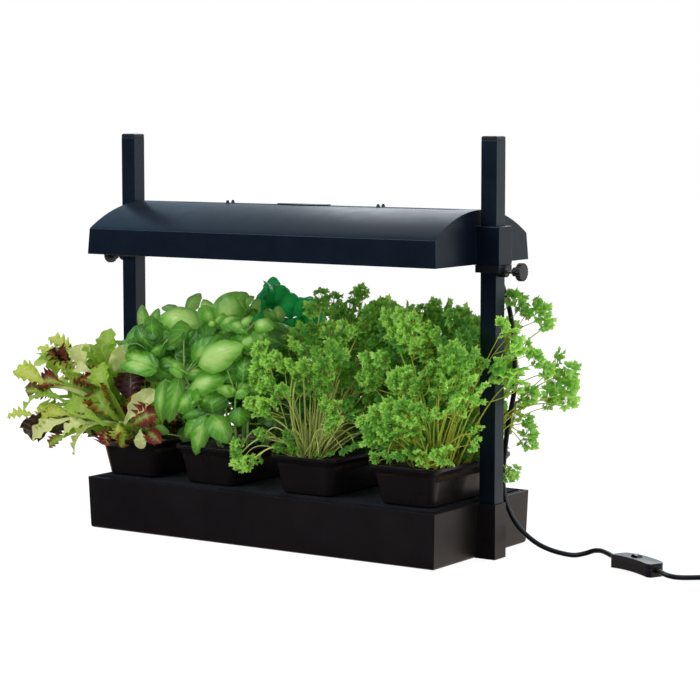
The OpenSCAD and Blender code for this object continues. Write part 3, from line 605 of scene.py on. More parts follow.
def felt(name, colour):
    """Damp matted fibres."""
    finish = Finish(name)
    place = finish.place()
    stretched = finish.node(
        "ShaderNodeMapping", {}, {"Vector": place, "Scale": (1.0, 3.0, 1.0), "Rotation": (0.0, 0.0, 0.6)}
    )
    fibres = finish.noise(420.0, 5.0, 0.7, stretched.outputs[0])
    damp = finish.noise(18.0, 2.0)
    light = [c * 3.0 + 0.006 for c in colour]
    finish.set(
        Base_Color=finish.mix((fibres * damp * 2.0).between(0.3, 0.8), colour, light),
        Roughness=0.95 - damp.between(0.55, 0.75) * 0.35,
        Specular_IOR_Level=0.2,
    )
    finish.bump(fibres, 0.9, 0.0006)
    return finish.material


def metal(name, colour, roughness, streaks=(1.0, 1.0, 1.0)):
    """Turned or drawn metal with fine streaks and dull spots."""
    finish = Finish(name)
    drawn = finish.node("ShaderNodeMapping", {}, {"Vector": finish.place(), "Scale": streaks})
    lines = finish.noise(900.0, 3.0, 0.6, drawn.outputs[0])
    spots = finish.noise(60.0, 3.0)
    dull = [c * 0.72 for c in colour]
    finish.set(
        Base_Color=finish.mix(spots.between(0.4, 0.75), colour, dull),
        Roughness=roughness + lines * 0.14 + spots.between(0.5, 0.8) * 0.12,
        Metallic=1.0,
    )
    finish.bump(lines, 0.25, 0.00004)
    return finish.material


def white_enamel(name):
    """Painted white sheet, a little dusty."""
    finish = Finish(name)
    dust = finish.noise(24.0, 4.0, 0.65)
    finish.set(
        Base_Color=finish.mix(dust.between(0.5, 0.8), (0.78, 0.79, 0.78), (0.66, 0.65, 0.61)),
        Roughness=0.3 + dust * 0.2,
        Specular_IOR_Level=0.5,
    )
    finish.bump(finish.noise(260.0, 2.0), 0.2, 0.00008)
    return finish.material


def lamp_glass(name):
    """White powder-coated tube glass, greyer towards its ends."""
    finish = Finish(name)
    x = finish.parts(finish.place())[0]
    low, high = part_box("lamp_tube")
    half = (high[0] - low[0]) / 2
    end = abs(x).between(half * 0.9, half)
    cloud = finish.noise(90.0, 3.0)
    white = finish.mix(cloud.between(0.35, 0.7), (0.84, 0.85, 0.85), (0.79, 0.8, 0.81))
    finish.set(
        Base_Color=finish.mix(end * 0.7, white, (0.3, 0.3, 0.31)),
        Roughness=0.12 + cloud * 0.05,
        Specular_IOR_Level=0.5,
    )
    return finish.material


def knob_plastic(name, colour):
    """Knob plastic with wear that shows lighter."""
    finish = Finish(name)
    marks = finish.noise(50.0, 4.0)
    light = [c * 2.4 + 0.006 for c in colour]
    finish.set(
        Base_Color=finish.mix(marks.between(0.35, 0.7), colour, light),
        Roughness=0.34 + marks * 0.2,
        Specular_IOR_Level=0.45,
    )
    finish.bump(finish.noise(700.0, 2.0), 0.4, 0.00008)
    return finish.material


# Each finish's maker, its colour, or the name of the setting that holds it, and what else the maker takes.
SLOT_FINISHES = {
    "tray_plastic": (moulded, "tray", 0.4, 0.3),
    "platform_plastic": (moulded, "tray", 0.55, 0.2),
    "mat_felt": (felt, (0.004, 0.0045, 0.006)),
    "trough_plastic": (moulded, "trough", 0.3, 0.4, 500.0),
    "post_plastic": (moulded, "upright", 0.36, 0.38, 1200.0, 0.00004, COLD),
    "cap_plastic": (moulded, (0.006, 0.0065, 0.009), 0.4, 0.35),
    "hood_plastic": (moulded, "upright", 0.34, 0.27, 700.0, 0.00007, COLD),
    "badge_plastic": (moulded, (0.004, 0.0045, 0.006), 0.3, 0.4),
    "lamp_white": (white_enamel,),
    "ballast_block": (moulded, (0.02, 0.02, 0.022), 0.6, 0.25, 300.0),
    "holder_plastic": (moulded, (0.55, 0.55, 0.53), 0.45, 0.4),
    "clip_plastic": (moulded, (0.006, 0.006, 0.007), 0.38, 0.4),
    "gland_rubber": (moulded, (0.005, 0.005, 0.006), 0.6, 0.25),
    "lamp_glass": (lamp_glass,),
    "lamp_metal": (metal, (0.72, 0.73, 0.74), 0.28, (1.0, 6.0, 6.0)),
    "collar_plastic": (moulded, (0.004, 0.0045, 0.0065), 0.42, 0.35),
    "insert_brass": (metal, (0.2, 0.14, 0.06), 0.4, (8.0, 1.0, 1.0)),
    "screw_steel": (metal, STEEL, 0.25, (12.0, 1.0, 1.0)),
    "knob_plastic": (knob_plastic, (0.007, 0.008, 0.01)),
    "tie_plastic": (moulded, (0.01, 0.01, 0.011), 0.5, 0.3),
    "case_plastic": (moulded, (0.006, 0.005, 0.0055), 0.36, 0.4),
    "lid_plastic": (moulded, (0.007, 0.0075, 0.011), 0.3, 0.5, 1100.0),
    "rocker_plastic": (moulded, (0.003, 0.003, 0.004), 0.22, 0.5),
    "contact_brass": (metal, BRASS, 0.3, (6.0, 1.0, 1.0)),
    "case_screw_steel": (metal, STEEL, 0.3),
    "plug_rubber": (moulded, (0.005, 0.005, 0.006), 0.5, 0.3),
    "plug_metal": (metal, (0.75, 0.72, 0.64), 0.18, (1.0, 12.0, 1.0)),
}
# How far the edges of these nodes are rounded, in millimetres.
EDGES = {
    "tray": 0.28, "platform": 0.8, "hood": 0.9, "badge": 0.3, "post_left": 0.7, "post_right": 0.7,
    "post_cap_left": 0.9, "post_cap_right": 0.9, "collar_left": 0.6, "collar_right": 0.6,
    "switch_base": 0.4, "switch_lid": 0.5, "switch_rocker": 0.4, "plug_body": 0.5,
    "ballast_housing": 0.5, "ballast": 0.6,
    "trough_1": 0.5, "trough_2": 0.5, "trough_3": 0.5, "trough_4": 0.5,
}  # fmt: skip


def slot_finish(slot, colours):
    """The material of a slot, in the chosen colours."""
    maker, *given = SLOT_FINISHES[slot]
    if given and isinstance(given[0], str):
        given[0] = tuple(getattr(colours, given[0]))
    return maker(slot, *given)


def round_edges(node, width):
    """Rounds a packed solid's sharp edges on the way to the render; its mesh stays as it is."""
    closest, flattest, sharpest = 0.06 * MM, math.radians(0.6), math.radians(34.0)
    target = frame["nodes"][node]
    target.modifiers.new("join", "WELD").merge_threshold = closest
    flat = target.modifiers.new("flatten", "DECIMATE")
    flat.decimate_type = "DISSOLVE"
    flat.angle_limit = flattest
    target.modifiers.new("split", "TRIANGULATE")
    rounded = target.modifiers.new("round", "BEVEL")
    rounded.width = width * MM
    rounded.segments = 2
    rounded.limit_method = "ANGLE"
    rounded.angle_limit = sharpest
    # The tray's shortest edges would hold the rounding of all its others back.
    rounded.use_clamp_overlap = node != "tray"
    rounded.miter_outer = "MITER_ARC"


class GARDEN_OT_finishes(bpy.types.Operator):
    """Give the packed solids their finishes"""

    bl_idname = "garden.finishes"
    bl_label = "Finishes"

    def execute(self, context):
        made = {}
        for part in frame["record"]["subparts"]:
            slot = part["material_slot"]
            if slot not in SLOT_FINISHES:
                continue
            if slot not in made:
                made[slot] = slot_finish(slot, context.scene.garden_colours)
            wear(part["node"], made[slot])
        for node, width in EDGES.items():
            round_edges(node, width)
        return {"FINISHED"}


# ---------- Compost ----------


def compost_finish():
    """Dark damp crumbs with a few pale flecks."""
    finish = Finish("compost")
    crumbs = finish.noise(260.0, 6.0, 0.7)
    damp = finish.noise(40.0, 3.0)
    cells = finish.node("ShaderNodeTexVoronoi", {}, {"Vector": finish.place(), "Scale": 210.0})
    grain = Value(finish, cells.outputs["Distance"])
    dark = finish.mix(crumbs.between(0.3, 0.7), (0.006, 0.0035, 0.002), (0.035, 0.02, 0.011))
    fleck = (1.0 - grain.between(0.05, 0.12)) * crumbs.between(0.55, 0.62)
    finish.set(
        Base_Color=finish.mix(fleck, dark, (0.2, 0.17, 0.13)),
        Roughness=0.95 - damp.between(0.5, 0.7) * 0.3,
        Specular_IOR_Level=0.25,
    )
    finish.bump(crumbs + grain * 0.6, 0.9, 0.0012)
    return finish.material


class GARDEN_OT_compost(bpy.types.Operator):
    """Fill the troughs with loose compost"""

    bl_idname = "garden.compost"
    bl_label = "Compost"

    rings = 22
    steps = 96
    # The corners' radius, the height of the crumbs and the depth of the sides.
    corner = 0.019
    loose = 0.0022
    wall_drop = 0.012
    # Shares of the way from the middle to the trough: the first ring, the last one and the sides' foot.
    core = 0.03
    rim = 0.985
    wall = 0.955

    def execute(self, context):
        material = compost_finish()
        for number in (1, 2, 3, 4):
            node = f"compost_{number}"
            low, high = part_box(node)
            self.fill(node, Vector(low), Vector(high), material)
        return {"FINISHED"}

    def fill(self, node, low, high, material):
        """Crumbly on top, and closed by straight sides and a flat bottom."""
        middle, half = (low + high) / 2, (high - low) / 2
        turn = np.linspace(0.0, 2.0 * math.pi, self.steps, endpoint=False)
        round_part = np.stack([np.cos(turn), np.sin(turn)], axis=1)
        straight = np.sign(np.round(round_part, 6)) * (half.x - self.corner, half.y - self.corner)
        edge = straight + round_part * self.corner
        points = []
        for share in np.linspace(self.core, self.rim, self.rings):
            for x, y in edge * share + (middle.x, middle.y):
                lumps = noise.fractal(Vector((x, y, middle.x)) * 140.0, 1.0, 2.1, 4)
                heave = noise.noise(Vector((x, y, 0.3)) * 30.0)
                points.append((x, y, high.z - 0.001 + self.loose * (0.55 * lumps + heave)))
        for share in (self.wall, self.core):
            points += [(x, y, high.z - self.wall_drop) for x, y in edge * share + (middle.x, middle.y)]
        faces = []
        for ring in range(self.rings + 1):
            for step in range(self.steps):
                near, far = ring * self.steps, (ring + 1) * self.steps
                following = (step + 1) % self.steps
                faces.append((near + step, far + step, far + following, near + following))
        faces.append(tuple(range(self.steps)))
        last = (self.rings + 1) * self.steps
        faces.append(tuple(range(last + self.steps - 1, last - 1, -1)))
        made = new_piece(f"{node}_soil", points, faces, material)
        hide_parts(node)


# ---------- Leaves ----------


def soil_height(node, depth):
    """Where stalks start: at this depth under the top of a trough's compost."""
    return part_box(node)[1][2] - depth


def unit(vector):
    """The vector's direction."""
    vector = np.array(vector, float)
    return vector / max(1e-9, np.linalg.norm(vector))


def bow(start, end, lift, count):
    """Points along a curve from start to end that bends by lift, a vector, in its middle."""
    t = np.linspace(0.0, 1.0, count)[:, None]
    start, end, lift = np.array(start, float), np.array(end, float), np.array(lift, float)
    return start + (end - start) * t + 4 * t * (1 - t) * lift


def blade(
    base, tip, face, width, form, rows, arch, cup, ruffle,
    waves=4.0, teeth=0.0, curl=0.0, roll=0.0, phase=0.0,
):  # fmt: skip
    """A leaf from base to tip whose upper side looks along face.

    form gives half the width along the leaf, arch lifts its middle, cup its edges, ruffle waves the
    edges, from phase on, teeth notch them, curl bends the tip down, and roll turns the leaf about its
    own length.
    """
    base, tip = np.array(base, float), np.array(tip, float)
    length = np.linalg.norm(tip - base)
    along = unit(tip - base)
    side = unit(np.cross(along, face))
    up = np.cross(side, along)
    side, up = side * math.cos(roll) + up * math.sin(roll), up * math.cos(roll) - side * math.sin(roll)
    t = np.linspace(0.0, 1.0, rows)
    rise = length * (arch * 4 * t * (1 - t) - curl * t**3)
    middle = base + np.outer(t * length, along) + np.outer(rise, up)
    across = np.linspace(-1.0, 1.0, 9)
    half = width / 2 * form(t)
    notch = 1.0 - teeth * (np.arange(rows) % 2) * np.sin(math.pi * t) ** 0.5
    edge = np.abs(across) ** 2
    sway = np.sin(2 * math.pi * waves * t[:, None] + phase + (across[None, :] < 0) * 1.9)
    lift = half[:, None] * (cup * edge[None, :] + ruffle * edge[None, :] ** 1.5 * sway)
    reach = half[:, None] * across[None, :]
    reach[:, [0, -1]] *= notch[:, None]
    return middle[:, None, :] + reach[:, :, None] * side + lift[:, :, None] * up


def fan(base, ahead, face, size, rows, columns, lobes, ruffle, droop, phase, teeth):
    """A cut and curled leaflet that opens from its base, as on parsley."""
    spread = 1.15
    ahead = unit(ahead)
    side = unit(np.cross(ahead, face))
    up = np.cross(side, ahead)
    angle = np.linspace(-spread, spread, columns)
    turn = math.pi * lobes * angle / spread
    ring = np.linspace(0.06, 1.0, rows)[:, None]
    reach = 1.0 - 0.28 * (angle / spread) ** 2 + 0.15 * np.cos(turn)
    notch = 1.0 - teeth * (np.arange(columns) % 2) * ring**2
    distance = size * ring * reach * notch
    wave = ruffle * ring**2 * np.sin(turn + phase)
    height = size * (wave + 0.25 * (1.0 - np.cos(angle)) - droop * ring**2)
    return (
        np.array(base, float)
        + (distance * np.cos(angle))[:, :, None] * ahead
        + (distance * np.sin(angle))[:, :, None] * side
        + height[:, :, None] * up
    )


class Foliage:
    """One plant's leaves and stems, gathered into one mesh."""

    stems_to_a_cell = 12

    def __init__(self, name, seed):
        self.name = name
        self.chance = random.Random(seed)
        self.leaves, self.stems = [], []

    def leaf(self, grid, shade_and_tone, tint=0.0):
        """A leaf, deeper or paler by a number that holds both its own colour and painted light and shade,
        in the colour that its tint picks.
        """
        self.leaves.append((grid, shade_and_tone, tint))

    def stem(self, line, thick, thin, sides=5):
        """A tapering stalk along a line."""
        self.stems.append((pipe(line, np.linspace(thick / 2, thin / 2, len(line)), sides), 0.0, 0.0))

    def jitter(self, amount):
        """A small random step."""
        return np.array([self.chance.gauss(0.0, amount) for _ in range(3)])

    def cells(self):
        """The part of the map that each leaf or stem has, as its lowest corner and its size."""
        stem_cells = math.ceil(len(self.stems) / self.stems_to_a_cell)
        across = max(1, math.ceil(math.sqrt(len(self.leaves) + stem_cells)))
        margin = 0.04
        inside = 1 - 2 * margin
        for number in range(len(self.leaves)):
            corner = (number % across + margin, number // across + margin)
            yield np.array(corner) / across, np.array((inside, inside)) / across
        strip_margin = 0.15
        strip_inside = 1 - 2 * strip_margin
        for number in range(len(self.stems)):
            cell, strip = divmod(number, self.stems_to_a_cell)
            cell += len(self.leaves)
            strip_start = (strip + strip_margin) / self.stems_to_a_cell
            corner = (cell % across + strip_start, cell // across + margin)
            size = (strip_inside / self.stems_to_a_cell, inside)
            yield np.array(corner) / across, np.array(size) / across

    def build(self, material, slot, *nodes):
        """The plant's piece, in place of the solids of these nodes."""
        points, faces, coordinates, shades, maps, first = [], [], [], [], [], 0
        sheets = [(*leaf, 0.0) for leaf in self.leaves] + [(*stem, 1.0) for stem in self.stems]
        for (grid, shade_and_tone, tint, stalk), (corner, size) in zip(sheets, self.cells()):
            rows, columns = grid.shape[:2]
            v, u = np.meshgrid(np.linspace(0, 1, rows), np.linspace(0, 1, columns), indexing="ij")
            points.append(grid.reshape(-1, 3))
            faces.append(grid_faces(rows, columns, first))
            coordinates.append(np.stack([u.ravel() * 2 - 1, v.ravel(), np.full(u.size, stalk)], axis=1))
            shades.append(np.tile((shade_and_tone, tint, self.chance.random()), (u.size, 1)))
            maps.append(corner + np.stack([u.ravel(), v.ravel()], axis=1) * size)
            first += u.size
        faces = np.vstack(faces)
        made = new_piece(self.name, np.vstack(points), faces, material)
        mesh = made.data
        for name, values in (("leaf", coordinates), ("shade", shades)):
            layer = mesh.attributes.new(name, "FLOAT_VECTOR", "POINT")
            layer.data.foreach_set("vector", np.vstack(values).astype(np.float32).ravel())
        layer = mesh.uv_layers.new(name="OFBake")
        layer.data.foreach_set("uv", np.vstack(maps)[faces.ravel()].astype(np.float32).ravel())
        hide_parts(*nodes)


# A tint without a brighter channel than this lets no light through the leaf.
DARK_TINT = 0.4
# How far out a tint starts and is full, from the rib's foot to the leaf's edge.
TINTED = {"all": (-0.2, -0.1), "most": (0.25, 0.6), "edge": (0.45, 0.95)}


def leaf_finish(
    name, dark, light, stalk, veins, side_veins, gloss, tints=(), bright=None, rim=0.0, painted_highlight=0.0
):  # fmt: skip
    """Leaf with a midrib and side veins, deeper or paler by a number that holds both its own colour and
    painted light and shade.

    It's paler by rim at its tip and by a painted highlight in its middle, and veins says how much the veins
    show.
    Each of the tints has its lowest and highest number, its colour and its place on the leaf.
    """
    finish = Finish(name)
    place = finish.node("ShaderNodeAttribute", {"attribute_name": "leaf"}).outputs["Vector"]
    shade = finish.node("ShaderNodeAttribute", {"attribute_name": "shade"}).outputs["Vector"]
    u, v, is_stalk = finish.parts(place)
    shade_and_tone, tint, chance = finish.parts(shade)
    off = abs(u)
    mottle = finish.noise(70.0, 4.0, 0.6)
    # The midrib, and side veins that slant from it towards the tip.
    rib = 1.0 - off.between(0.02, 0.1)
    slope = v * side_veins - off * 1.6
    off_vein = abs(slope - slope.apply("ROUND"))
    vein = (1.0 - off_vein.between(0.02, 0.16)) * off.between(0.02, 0.12)
    # How pale the leaf is, from 0 to 1, with painted light and shade from its number and a painted
    # highlight in its middle.
    along = 1.0 - abs(v - 0.5).between(0.1, 0.5)
    # Painted highlight: paler near the rib and halfway along the leaf.
    sheen = ((1.0 - off.between(0.15, 1.0)) * along - 0.35) * painted_highlight
    amount = (shade_and_tone + (mottle - 0.5) * 0.4 + (chance - 0.5) * 0.2 + (v - 0.6) * rim + sheen).clamped()
    colour = finish.mix(amount, dark, light)
    if bright is not None:
        colour = finish.mix(amount.between(0.62, 1.0), colour, bright)
    # How clear the leaf is: it shows its veins and lets light through, and a dark tint hides both.
    clear = 1.0 - is_stalk * 0.5
    for low, high, shown, where in tints:
        edge = (off * 0.75 + v * 0.5).between(*TINTED[where])
        inside = tint.between(low, low + 0.08) * (1.0 - tint.between(high, high + 0.08)) * edge
        colour = finish.mix((inside * (0.8 + mottle * 0.5)).clamped(), colour, shown)
        if max(shown) < DARK_TINT:
            clear = clear * (1.0 - inside * 0.9)
    colour = finish.mix((rib * 0.75 + vein * 0.45).clamped() * clear * veins, colour, stalk)
    colour = finish.mix(is_stalk, colour, finish.mix(chance, [c * 0.45 for c in stalk], stalk))
    finish.set(Base_Color=colour, Roughness=(gloss + mottle * 0.2).clamped(), Specular_IOR_Level=0.35)
    # Quilted between the veins, with the rib sunk in.
    quilt = off_vein.between(0.0, 0.5)
    finish.bump(quilt * 0.7 - rib * 0.6 + mottle * 0.4, 0.55, 0.0012)
    most_light = 0.35
    through = finish.node("ShaderNodeBsdfTranslucent", {}, {"Color": (*(bright or light), 1.0)})
    thin = finish.node("ShaderNodeMixShader", {}, {1: finish.surface.outputs[0], 2: through.outputs[0]})
    finish.put(thin.inputs[0], clear * most_light)
    finish.put(finish.output.inputs["Surface"], thin.outputs[0])
    return finish.material


def on_crown(node, count, chance, keep, depth=(1.0, 1.0)):
    """Places on a plant's solid, or inside it by depth as a share, and the way that each faces.

    keep says of a place in millimetres whether it's wanted.
    """
    apart = 0.012
    tries = 40 * count
    mesh = frame["nodes"][node].data
    mesh.calc_loop_triangles()
    corners = np.empty(len(mesh.vertices) * 3)
    mesh.vertices.foreach_get("co", corners)
    corners = corners.reshape(-1, 3)
    triangles = np.array([t.vertices[:] for t in mesh.loop_triangles])
    a, b, c = (corners[triangles[:, i]] for i in range(3))
    normal = np.cross(b - a, c - a)
    area = np.cumsum(np.linalg.norm(normal, axis=1))
    axis = (corners.min(axis=0) + corners.max(axis=0)) / 2
    found = []
    for _ in range(tries):
        if len(found) == count:
            break
        pick = int(np.searchsorted(area, chance.random() * area[-1]))
        s, t = chance.random(), chance.random()
        if s + t > 1:
            s, t = 1 - s, 1 - t
        place = a[pick] + s * (b[pick] - a[pick]) + t * (c[pick] - a[pick])
        inward = chance.uniform(*depth)
        place = axis + (place - axis) * (inward, inward, 1.0 - (1.0 - inward) * 0.4)
        if keep(place / MM) and all(np.linalg.norm(place - other) > apart for other, _ in found):
            found.append((place, unit(normal[pick])))
    return found


# The hood at its lowest place, and how far the leaves may hang over the tray's front.
CEILING = 0.3735
FRONT = CAD_BOX[0][1] - 0.007


def clear_of_stand(grid):
    """Moves a leaf that would reach the lowered hood, or hang too far over the tray's front."""
    grid[..., 2] -= max(0.0, grid[..., 2].max() - CEILING)
    grid[..., 1] += max(0.0, FRONT - grid[..., 1].min())
    return grid


# ---------- Basil and mint ----------


def ovate(t):
    """Widest below the middle, with a pointed tip."""
    return np.clip(np.sin(math.pi * t**0.8), 0.0, 1.0) ** 0.62 * 0.98 + 0.02


def spoon(t):
    """Narrow at the stalk, and widest past the middle."""
    widening = np.clip((t - 0.08) / 0.55, 0.0, 1.0)
    widening = widening * widening * (3 - 2 * widening)
    closing = np.sqrt(np.clip(1.0 - (np.clip(t - 0.7, 0.0, 1.0) / 0.305) ** 2, 0.0, 1.0))
    return (0.2 + 0.8 * widening) * closing + 0.01


# Base, tip, width and lightness of the basil leaves that show most; the lightness holds both the leaf's own
# colour and painted light and shade.
BASIL_LEAVES = (
    ((-152, -40, 302), (-210, -70, 320), 36, 0.95), ((-224, -10, 321), (-263, 0, 321), 12, 0.15),
    ((-195, -25, 320), (-182, -10, 348), 19, 0.3), ((-125, -50, 307), (-154, -40, 342), 21, 0.9),
    ((-121, -50, 309), (-86, -30, 352), 39, 0.88), ((-115, -10, 349), (-85, -15, 338), 16, 0.5),
    ((-114, -62, 312), (-121, -70, 306), 10, 0.98), ((-78, -55, 308), (-51, -55, 320), 18, 0.92),
    ((-111, -58, 305), (-78, -50, 319), 18, 0.82), ((-45, -60, 314), (-13, -60, 310), 21, 0.85),
    ((-101, -66, 298), (-67, -60, 307), 19, 0.35), ((-125, -90, 249), (-45, -98, 283), 38, 0.97),
    ((-143, -80, 250), (-101, -80, 289), 30, 0.62), ((-67, -70, 279), (-24, -70, 291), 22, 0.62),
    ((-258, -45, 288), (-273, -35, 327), 16, 0.45), ((-245, -48, 289), (-237, -40, 324), 15, 0.62),
    ((-204, -55, 295), (-223, -50, 318), 18, 0.52), ((-194, -60, 289), (-236, -60, 285), 20, 0.3),
    ((-240, -68, 257), (-250, -60, 291), 18, 0.75), ((-264, -60, 259), (-302, -50, 276), 20, 0.45),
    ((-197, -68, 274), (-235, -72, 257), 18, 0.5), ((-202, -85, 242), (-276, -80, 259), 26, 0.62),
    ((-200, -90, 235), (-272, -90, 244), 25, 0.72), ((-175, -65, 274), (-210, -65, 267), 14, 0.38),
    ((-178, -70, 240), (-221, -60, 255), 27, 0.05), ((-133, -80, 239), (-173, -85, 239), 18, 0.5),
    ((-157, -92, 232), (-165, -108, 164), 23, 0.58), ((-180, -98, 226), (-182, -108, 164), 23, 0.48),
    ((-142, -95, 212), (-76, -95, 236), 31, 0.66), ((-124, -98, 212), (-150, -108, 181), 29, 0.6),
    ((-94, -95, 182), (-102, -85, 217), 39, 0.4), ((-44, -90, 231), (-47, -80, 269), 31, 0.25),
    ((-43, -100, 195), (-39, -108, 169), 27, 0.36), ((-101, -106, 180), (-136, -114, 145), 29, 0.5),
    ((-97, -110, 181), (-108, -120, 123), 23, 0.62), ((-90, -104, 182), (-53, -116, 144), 32, 0.66),
    ((-100, -104, 183), (-146, -104, 173), 13, 0.28), ((-170, -104, 147), (-198, -104, 161), 14, 0.25),
    ((-64, -78, 232), (-83, -72, 258), 17, 0.25), ((-87, -70, 281), (-128, -60, 291), 18, 0.3),
    ((-173, -62, 285), (-141, -60, 292), 17, 0.3), ((-162, -72, 263), (-174, -78, 249), 12, 0.4),
    ((-30, -78, 278), (-7, -85, 263), 23, 0.55), ((-50, -40, 304), (-47, -60, 297), 15, 0.3),
    ((-41, -80, 223), (-17, -85, 213), 17, 0.15),
)  # fmt: skip
# The same for the mint.
MINT_LEAVES = (
    ((-99, 60, 317), (-145, 45, 309), 50, 0.35), ((-94, 60, 321), (-135, 75, 350), 52, 0.5),
    ((-91, 60, 321), (-64, 70, 344), 48, 0.5), ((-74, 50, 302), (-34, 45, 310), 38, 0.6),
    ((-47, 45, 283), (-3, 40, 284), 38, 0.6), ((-35, 60, 302), (-32, 75, 338), 34, 0.35),
    ((-58, 45, 258), (-31, 50, 261), 32, 0.5), ((-78, 45, 282), (-58, 45, 264), 30, 0.15),
    ((-86, 62, 328), (-106, 66, 359), 44, 0.4), ((-66, 60, 315), (-44, 80, 345), 40, 0.45),
    ((-76, 75, 318), (-101, 105, 338), 46, 0.4), ((-61, 75, 308), (-36, 108, 323), 44, 0.4),
    ((-81, 70, 293), (-121, 95, 293), 44, 0.35), ((-66, 85, 283), (-51, 112, 263), 40, 0.35),
    ((-91, 60, 283), (-136, 70, 265), 40, 0.3), ((-56, 60, 273), (-26, 75, 255), 36, 0.4),
)  # fmt: skip
# The tops of the basil's and the mint's main stems.
BASIL_TOPS = (
    (-130, -45, 305), (-60, -62, 300), (-200, -40, 300), (-150, -92, 236), (-120, -98, 195),
    (-55, -92, 215), (-28, -60, 285), (-95, 0, 318), (-160, 10, 300), (-60, 20, 310), (-262, -58, 262),
    (-130, 35, 285), (-95, -20, 330),
)  # fmt: skip
MINT_TOPS = ((-92, 60, 318), (-56, 55, 293), (-74, 80, 303), (-68, 62, 278))
# Boxes that leaves darkened as painted shade fill: the middle of the basil, and the layer behind the leaves
# in front.
BASIL_MIDDLE = ((-250, 12), (-45, 80), (135, 300))
BASIL_LAYER = ((-262, -25), (-74, -45), (225, 296))
# The way that the leaves in front turn their upper sides.
OUTLOOK = unit((0.45, -0.75, 0.6))


